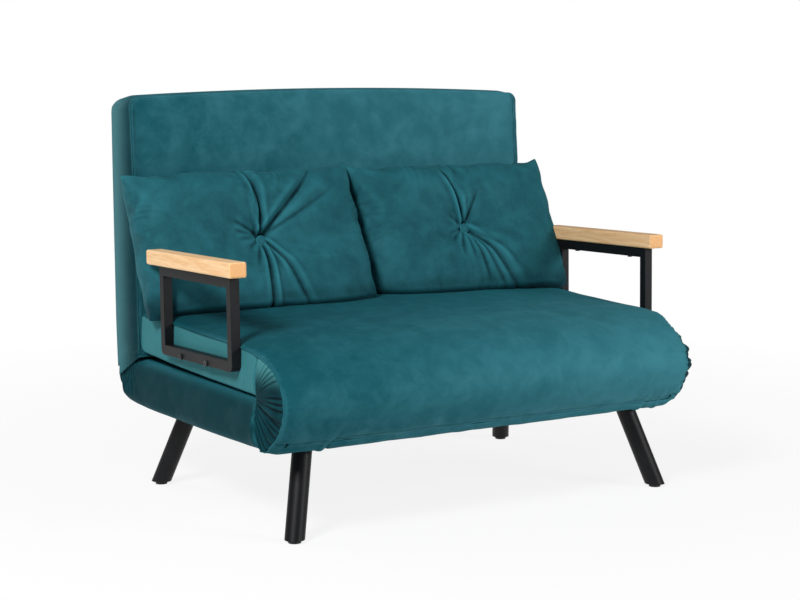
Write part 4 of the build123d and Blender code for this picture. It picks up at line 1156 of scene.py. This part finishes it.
# %% Back cushion
def back_place(a, b, c):
    spread = np.interp(np.abs(a), [0, 0.60, 0.64, 0.68, 0.9, 1], [0, 292, 298, 306, 452, BACK_HALF])
    x = np.sign(a) * spread
    s = (crowd(b, 0.3) + 1) / 2
    t = np.interp(
        (c + 1) / 2,
        [0, 0.05, 0.36, 0.385, 0.415, 0.80, 0.83, 0.86, 0.95, 1],
        [0, 0.015, 0.385, 0.395, 0.412, 0.843, 0.852, 0.868, 0.975, 1],
    )
    low, top = back_bottom(250 + 104.5 * s), back_top(x, s)
    z = low + t * (top - low)
    y = back_front_line(z) + s * (back_rear_line(z) - back_front_line(z))
    in_x, in_z = BACK_HALF - np.abs(x), np.minimum(top - z, 2 * (z - low) + 20)
    inward = np.minimum(in_x, in_z)
    front, rear = (b < -AT_FACE), (b > AT_FACE)
    side, over = (np.abs(a) > AT_FACE), (c > AT_FACE)
    edge = (front | rear) & side | (front | rear) & over | side & over
    fold = 0.9 * wobble(x / 90, z / 130, 91) + 0.6 * wobble(x / 34, z / 80, 92)
    small = 0.8 * wobble(x / 11, z / 11, 93) * np.exp(-inward / 14)
    belly = 4.5 * (1 - (x / BACK_HALF) ** 4) * np.sin(pi * np.clip(t, 0, 1))
    puff = swell(inward, PANEL_EDGE, PANEL_RISE) + belly + small
    y = np.where(front & ~edge, y - (puff + fold * ramp(inward, 0, 30)) * ramp(z, 285, 400), y)
    bay = ramp(305 - np.abs(x), 0, 8) * ramp(z - 478, 0, 8) * ramp(726 - z, 0, 8)
    plump = swell(inward, 40, 3.0) * (1 - bay)
    y = np.where(rear & ~edge, y + plump - bay * (y - 338.5), y)
    lean_side = (5.0 * np.sin(pi * s**1.3) - 2.2 * bump_at(s, 0.06, 0.06)) * ramp(z, 260, 320)
    small_side = 0.9 * wobble(z / 9, s * 2.5, 95 + np.sign(a)) * bump_at(s, 0.12, 0.2)
    lean_side = lean_side + (0.8 * wobble(z / 45, y / 30, 94 + np.sign(a)) + small_side) * np.sin(pi * s)
    x_out = np.where(side & ~edge, x + np.sign(a) * lean_side, x)
    z_out = np.where(over & ~edge, z + 6.0 * np.sin(pi * s) * ramp(in_x, 0, 30), z)
    x_out, z_out = round_top_corner(x_out, z_out, top, s)
    return x_out, y, z_out


back_cushion = padded_block("back_cushion", (140, 18, 120), back_place)
back_cushion.data.materials.append(velvet_back)

# %% [markdown]
# A flap of velvet hangs over each end of the rear hinge, where the back meets
# the base. It is gathered along its lower edge, and it moves with the back.

# %% Flaps over the rear hinge
FLAP_FRONT, FLAP_LENGTH = 251.0, 105.5


def flap(hand):
    """The flap at one end, -1 for the left and 1 for the right."""

    def flap_place(u, v):
        y = FLAP_FRONT + FLAP_LENGTH * u
        seam = 270.5 - 55 * u
        high = back_bottom(np.clip(y, 250, 356.5)) + 18
        z = seam + v * (high - seam)
        gathers = sharp_folds(y / 12 + 0.6 * wobble(y / 25, v, 99), 0.8, 0.5)
        x = BACK_HALF + 1.0 + 3.4 * gathers * ramp(u, 0.3, 0.6) * (1 - v) - 3.6 * ramp(v, 0.55, 1)
        turned_in = 5.5 * ramp(u, 0.8, 1) ** 2 + 2.5 * ramp(-u, -0.12, 0) + 1.5 * ramp(-v, -0.12, 0)
        return hand * (x - turned_in), y, z

    return cloth_sheet(f"flap_{hand}", 70, 18, flap_place, thickness=1.2)


flaps = joined("back_side_flaps", [flap(-1), flap(1)])
flaps.data.materials.append(velvet_back)
edit(flaps, lambda: bpy.ops.mesh.normals_make_consistent(inside=False))


# %% [markdown]
# One unbroken piping runs up the front edge of the back, round both corners
# and down again. A row of stitches lies a little inside it on each side. Both
# are laid along the seam that the cushion was shaped from.

# %% Back piping
PIPE_SUNK = 0.8


def back_seam():
    """Points up one front edge, along the top and down the other front edge."""
    centre, radius = BACK_HALF - CORNER, CORNER - PIPE_SUNK
    high = back_top(centre, 0.0) - CORNER
    rise, turn = np.linspace(278, high, 100), np.radians(np.linspace(0, 84, 12))
    level = np.linspace(centre - 6, 0, 40)
    x = np.concatenate([0 * rise + BACK_HALF - PIPE_SUNK, centre + radius * np.cos(turn), level])
    z = np.concatenate([rise, high + radius * np.sin(turn), back_top(level, 0.0) - PIPE_SUNK])
    x, z = np.concatenate([x, -x[-2::-1]]), np.concatenate([z, z[-2::-1]])
    y = back_front_line(z) - 0.5
    return np.stack([x + 0.5 * wobble(z / 12, x / 12, 97), y, z + 0.3 * wobble(x / 15, z / 12, 96)], 1)


def back_stitches(hand):
    """Points of the second row of stitches, a little inside the seam on the front."""
    rise = np.linspace(292, 784, 140)
    inside = 9.0
    x = hand * (BACK_HALF - inside)
    lift = float(swell(np.array([inside]), PANEL_EDGE, PANEL_RISE)[0]) + 0.2
    y = back_front_line(rise) - lift * ramp(rise, 285, 400) - 0.2
    return np.stack([0 * rise + x + 0.4 * wobble(rise / 14, 0 * rise, 98 + hand), y, rise], 1)


back_pipe = piping("back_piping", back_seam(), 2.2, velvet_back)
stitch_rows = [piping(f"back_row_{hand}", back_stitches(hand), 0.9, velvet_back) for hand in (-1, 1)]
back_row = joined("back_stitch_rows", stitch_rows)
print("back piping", back_pipe.name, back_row.name)

# %% [markdown]
# ## Loose pillows
# The two pillows show most of all. A pillow is a flat bag of cloth that is
# blown up by its filling, with a button drawn in at the middle, so a cloth
# simulation is the natural way: a bag a little larger than the pillow is laid
# flat, its middle is held, and a gentle pressure swells it. The edges pull in
# between the corners and pucker by themselves. One blown bag serves for both
# pillows. It is fitted to their size, and the long creases that run out from
# the button are pressed in one by one, where the cloth is tightest. At last
# each pillow is leaned back, sagging on to the seat. Its rear is cut flat
# where it would enter the back, and where it lies on the open bed.

# %% Pillow bag
BAG_HALF_W, BAG_HALF_H = 258.0, 150.0
HELD_R = 9.0
FRAMES = 22
CLOTH = {
    "quality": 6,
    "mass": 0.2,
    "tension_stiffness": 14,
    "compression_stiffness": 6,
    "shear_stiffness": 6,
    "bending_stiffness": 0.08,
    "air_damping": 2.0,
    "use_pressure": True,
    "uniform_pressure_force": 4.2,
    "vertex_group_mass": "button",
}


def bag_place(a, b, c):
    x = BAG_HALF_W * crowd(a, 0.25) * (1 + 0.048 * (1 - b**2))
    y = BAG_HALF_H * crowd(b, 0.25) * (1 + 0.108 * (1 - a**2))
    fill = np.maximum(1 - a**2, 0) ** 0.6 * np.maximum(1 - b**2, 0) ** 0.6
    thick = 1.2 + 29 * fill
    return x, y, c * thick


def blown_pillow(name):
    """A simulated pillow, flat in X and Y and centred on the origin, in metres."""
    cells = ((116, 68, 2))
    bag = padded_block(name, cells, bag_place)
    rows = points_of(bag)
    held = bag.vertex_groups.new(name="button")
    near = np.flatnonzero(np.hypot(rows[:, 0], rows[:, 1]) < HELD_R * MM)
    held.add([int(i) for i in near], 1.0, "REPLACE")
    pick(bag)
    cloth = bag.modifiers.new("cloth", "CLOTH")
    for key, value in CLOTH.items():
        setattr(cloth.settings, key, value)
    cloth.settings.effector_weights.gravity = 0
    cloth.collision_settings.use_collision = False
    cloth.point_cache.frame_start = 1
    cloth.point_cache.frame_end = FRAMES
    for step in range(1, FRAMES + 1):
        bpy.context.scene.frame_set(step)
    bpy.ops.object.modifier_apply(modifier="cloth")
    bpy.context.scene.frame_set(1)
    apply_modifier(bag, "SMOOTH", factor=0.5, iterations=14)
    apply_modifier(bag, "SUBSURF", levels=1, render_levels=1)
    print(name, "blown up to", [round(float(v), 3) for v in np.ptp(points_of(bag), axis=0)])
    return bag


# %% Creases
def press_creases(rows, creases):
    """Presses creases into the front of a pillow. Each is angle, length, depth, width and bend."""
    front = ramp(rows[:, 2], 0.0, 10.0)
    change = np.zeros(len(rows))
    for angle, length, depth, width, bend in creases:
        ux, uy = cos(radians(angle)), sin(radians(angle))
        along = rows[:, 0] * ux + rows[:, 1] * uy
        t = np.clip(along / length, 0, 1)
        across = -rows[:, 0] * uy + rows[:, 1] * ux - bend * t * t
        faded = ramp(t, 0.72, 1.0) * (along >= length * 0.72)
        fade = ramp(along, -4, 12) * (1 - faded) * (along < length)
        spread = width * (0.6 + 0.9 * t)
        valley = -0.85 * np.exp(-((np.abs(across) / (1.3 * spread)) ** 1.2))
        lips = 0.55 * np.exp(-(((across - 2.7 * spread) / (1.8 * spread)) ** 2))
        lips = lips + 0.22 * np.exp(-(((across + 2.9 * spread) / (2.1 * spread)) ** 2))
        change = change + depth * fade * (valley + lips) * (1 - 0.35 * t)
    return change * front


LEFT_CREASES = (
    (80, 160, 17, 3.6, 36),
    (98, 120, 7, 3.2, -18),
    (42, 232, 13, 6.4, 4),
    (25, 236, 7, 7.5, 10),
    (146, 74, 5, 3.0, 6),
    (163, 66, 4, 2.8, 4),
    (182, 58, 3, 2.8, 0),
    (214, 44, 3, 2.8, 0),
    (-90, 150, 13, 3.4, -37),
    (-72, 74, 4, 3.0, 6),
    (-114, 70, 4, 3.0, -8),
    (-48, 138, 9, 3.4, -22),
)
RIGHT_CREASES = (
    (96, 148, 17, 3.8, 26),
    (58, 92, 8, 5.0, 6),
    (80, 70, 4, 3.2, 0),
    (142, 50, 3, 2.8, 0),
    (196, 56, 3, 2.8, 0),
    (213, 56, 5, 3.0, 0),
    (238, 66, 6, 3.2, 6),
    (-27, 128, 6, 4.6, -16),
    (-40, 160, 13, 4.4, -24),
    (-53, 126, 8, 3.4, -14),
    (-70, 92, 5, 3.0, -8),
    (-94, 60, 4, 3.0, 0),
)


def ruffles(rows, seed, places):
    """Short puckers along the seams. Each place is a side, a middle, a width and a height."""
    x, y = rows[:, 0], rows[:, 1]
    change = np.zeros(len(rows))
    seams = {
        "bottom": (x, BAG_HALF_H - 10 + y),
        "top": (x, BAG_HALF_H - 10 - y),
        "right": (y, BAG_HALF_W - 12 - x),
        "left": (y, BAG_HALF_W - 12 + x),
    }
    for side, middle, width, height in places:
        along, inward = seams[side]
        waves = sharp_folds(along / 27 + 1.4 * wobble(along / 47, inward / 90, seed), 0.6, 0.7)
        fade = np.exp(-np.maximum(inward, 0) / (13 + 10 * wobble(along / 27, 0 * along, seed + 3)))
        change = change + height * waves * fade * bump_at(along, middle, width)
    return change


# %% Place a pillow on the seat
PILLOW_HALF_W, PILLOW_HALF_H, PILLOW_HALF_T = 254.0, 152.0, 56.0
REAR_FULLER = 1.9
UP_Y, UP_Z = 0.34, 0.925
OUT_Y, OUT_Z = 0.95, 0.3
SEAT_UNDER_PILLOW = 375.5


def fitted(rows):
    """The blown bag at the pillow's size, fuller behind, with the dimple of its button."""
    x = rows[:, 0] * (PILLOW_HALF_W / np.abs(rows[:, 0]).max())
    y = rows[:, 1] * (PILLOW_HALF_H / np.abs(rows[:, 1]).max())
    z = rows[:, 2] * np.clip(PILLOW_HALF_T / np.abs(rows[:, 2]).max(), 0.6, 1.5)
    z = np.where(z < 0, REAR_FULLER * z, z)
    dimple = 8 * np.exp(-((np.hypot(x, y) / 16) ** 2))
    return x, y, z - dimple * np.sign(z) * ramp(np.abs(z), 4, 14)


def seat_under(x, y):
    """Height of the seat under a pillow, which falls off at the seat's side and towards its rear."""
    side, rear = np.clip((np.abs(x) - 400) / 76, 0, 1), np.clip((y - 120) / 110, 0, 1)
    return SEAT_UNDER_PILLOW - 14 * side**2 - 6 * rear


def set_on_seat(bag, creases, puckers, middle, shear, twist, sink, seed):
    """Fits the blown pillow to its size, presses its creases and leans it against the back."""
    x, y, z = fitted(points_of(bag) / MM)
    rows = np.stack([x, y, z], 1)
    puckered = ruffles(rows, seed, puckers) * np.sign(z) * ramp(np.abs(z), 0.5, 6)
    z = z + press_creases(rows, creases) + puckered
    z = z + 0.9 * wobble(x / 46, y / 40, seed) + 0.5 * wobble(x / 18, y / 22, seed + 1)
    up = y + PILLOW_HALF_H
    low = 1 - np.clip(up / 300, 0, 1)
    across = np.maximum(1 - (x / 252) ** 4, 0)
    belly = ramp(z, 0, 30) * 40 * bump_at(up, 45, 62) * across
    rest = ramp(z, 2, 24) * (1 - ramp(up, 30, 110)) * (UP_Z * up + OUT_Z * z) * 0.8 * across
    sag = sink + 14 * low**1.5 * across + 0.2 * belly + rest
    droop = 17 * low**3 * (x / 250) ** 2
    corner = np.clip(-x / 252, 0, 1) ** 3 * np.clip(up / 296, 0, 1) * (middle < 0)
    place_x = middle + x - shear * (up - 148) - 11 * corner
    place_y = 124 + UP_Y * up - OUT_Y * (z + belly) + twist * (x / 250) * low - 6 * low
    place_z = 373 + UP_Z * up + OUT_Z * z - droop - sag - 6 * corner
    floor_z = seat_under(place_x, place_y)
    place_z = np.maximum(place_z, floor_z + 0.02 * (place_z - floor_z))
    under = np.clip(1 - (place_z - floor_z) / 20, 0, 1) * ramp(z, 2, 24)
    on_back, on_bed = back_front_line(place_z) - 7.0, 88.5 + 0.384 * place_z
    place_y = np.minimum(place_y + 22 * under**2, np.minimum(on_back, on_bed))
    move_points(bag, np.stack([place_x, place_y, place_z], 1) * MM)
    smooth_shade(bag)
    bag.data.materials.append(velvet_pillow)
    print(bag.name, len(bag.data.polygons), "faces")
    return bag


LEFT_PUCKERS = (("bottom", 140, 110, 13), ("left", 0, 150, 2.5), ("right", 0, 130, 4), ("top", 30, 80, 4))
RIGHT_PUCKERS = (
    ("bottom", 40, 190, 16), ("left", 0, 150, 2.5), ("right", -70, 70, 7), ("top", -60, 120, 3)
)
first = blown_pillow("left_cushion")
pick(first)
bpy.ops.object.duplicate()
second = bpy.context.object
second.name = second.data.name = "right_cushion"
left_cushion = set_on_seat(first, LEFT_CREASES, LEFT_PUCKERS, -252, 0.03, -24, 2, 201)
right_cushion = set_on_seat(second, RIGHT_CREASES, RIGHT_PUCKERS, 250, 0.0, -22, 6, 207)

# %% [markdown]
# ## Buttons
# Each button is a small dome of the same velvet, pulled down into the dimple.
# A ball would do from afar, but the real one has a rolled rim, so a disc is
# inset and raised instead, and its back is closed with one flat face.

# %% Covered buttons
BUTTON_R = 12.5
BUTTON_Z = 507.0
BUTTON_LEAN = 19
DOME_STEPS = ((1.2, 2.4), (1.6, 1.6), (2.0, 0.4), (2.6, 0.9), (2.6, 0.7))


def raise_dome():
    """Insets and raises the disc step by step. Each step is how far in and how far up."""
    for inset, raised in DOME_STEPS:
        bpy.ops.mesh.inset(thickness=inset * MM)
        bpy.ops.transform.translate(value=(0, 0, raised * MM))


def close_back():
    bpy.ops.mesh.select_mode(type="EDGE")
    bpy.ops.mesh.select_all(action="DESELECT")
    bpy.ops.mesh.select_non_manifold()
    bpy.ops.mesh.edge_face_add()


def covered_button(name, cushion, middle, shear):
    """A domed button in the front dimple of a cushion."""
    rows = points_of(cushion) / MM
    at_x = middle - shear * 4
    near = rows[(np.abs(rows[:, 0] - at_x) < 12) & (np.abs(rows[:, 2] - 508) < 14)]
    face_y = float(np.median(near[near[:, 1] < 190][:, 1]))
    deselect()
    bpy.ops.mesh.primitive_circle_add(vertices=40, radius=BUTTON_R * MM, fill_type="NGON")
    button = bpy.context.object
    button.name = button.data.name = name
    edit(button, raise_dome, close_back)
    apply_modifier(button, "SUBSURF", levels=1, render_levels=1)
    button.rotation_euler = (radians(90 - BUTTON_LEAN), 0, 0)
    button.location = (at_x * MM, (face_y - 1.0) * MM, BUTTON_Z * MM)
    bpy.ops.object.transform_apply(location=True, rotation=True, scale=True)
    button.data.materials.append(velvet_pillow)
    smooth_shade(button)
    print(name, "at y", round(face_y, 1))
    return button


left_button = covered_button("left_covered_button", left_cushion, -252, 0.03)
right_button = covered_button("right_covered_button", right_cushion, 251, 0.02)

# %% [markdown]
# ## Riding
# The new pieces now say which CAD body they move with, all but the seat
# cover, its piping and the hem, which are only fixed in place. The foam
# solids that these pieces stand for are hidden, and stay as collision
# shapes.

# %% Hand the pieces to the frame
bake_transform(top_cover)
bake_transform(roll_pipes)
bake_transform(hem)
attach(roll_body, "front_link")
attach(seat_slab, "seat")
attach(base_slab, "base")
for piece in (back_cushion, flaps, back_pipe, back_row):
    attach(piece, "back")
for piece, button, body in (
    (left_cushion, left_button, "left_pillow"),
    (right_cushion, right_button, "right_pillow"),
):
    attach(piece, body)
    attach(button, body)
    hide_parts(body)
    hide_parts(f"{body}_buttons")
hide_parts("base_pad")
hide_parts("link_pad")
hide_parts("seat_lower_pad")
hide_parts("seat_upper_pad")
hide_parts("back_front_pad", "back_rear_pad")
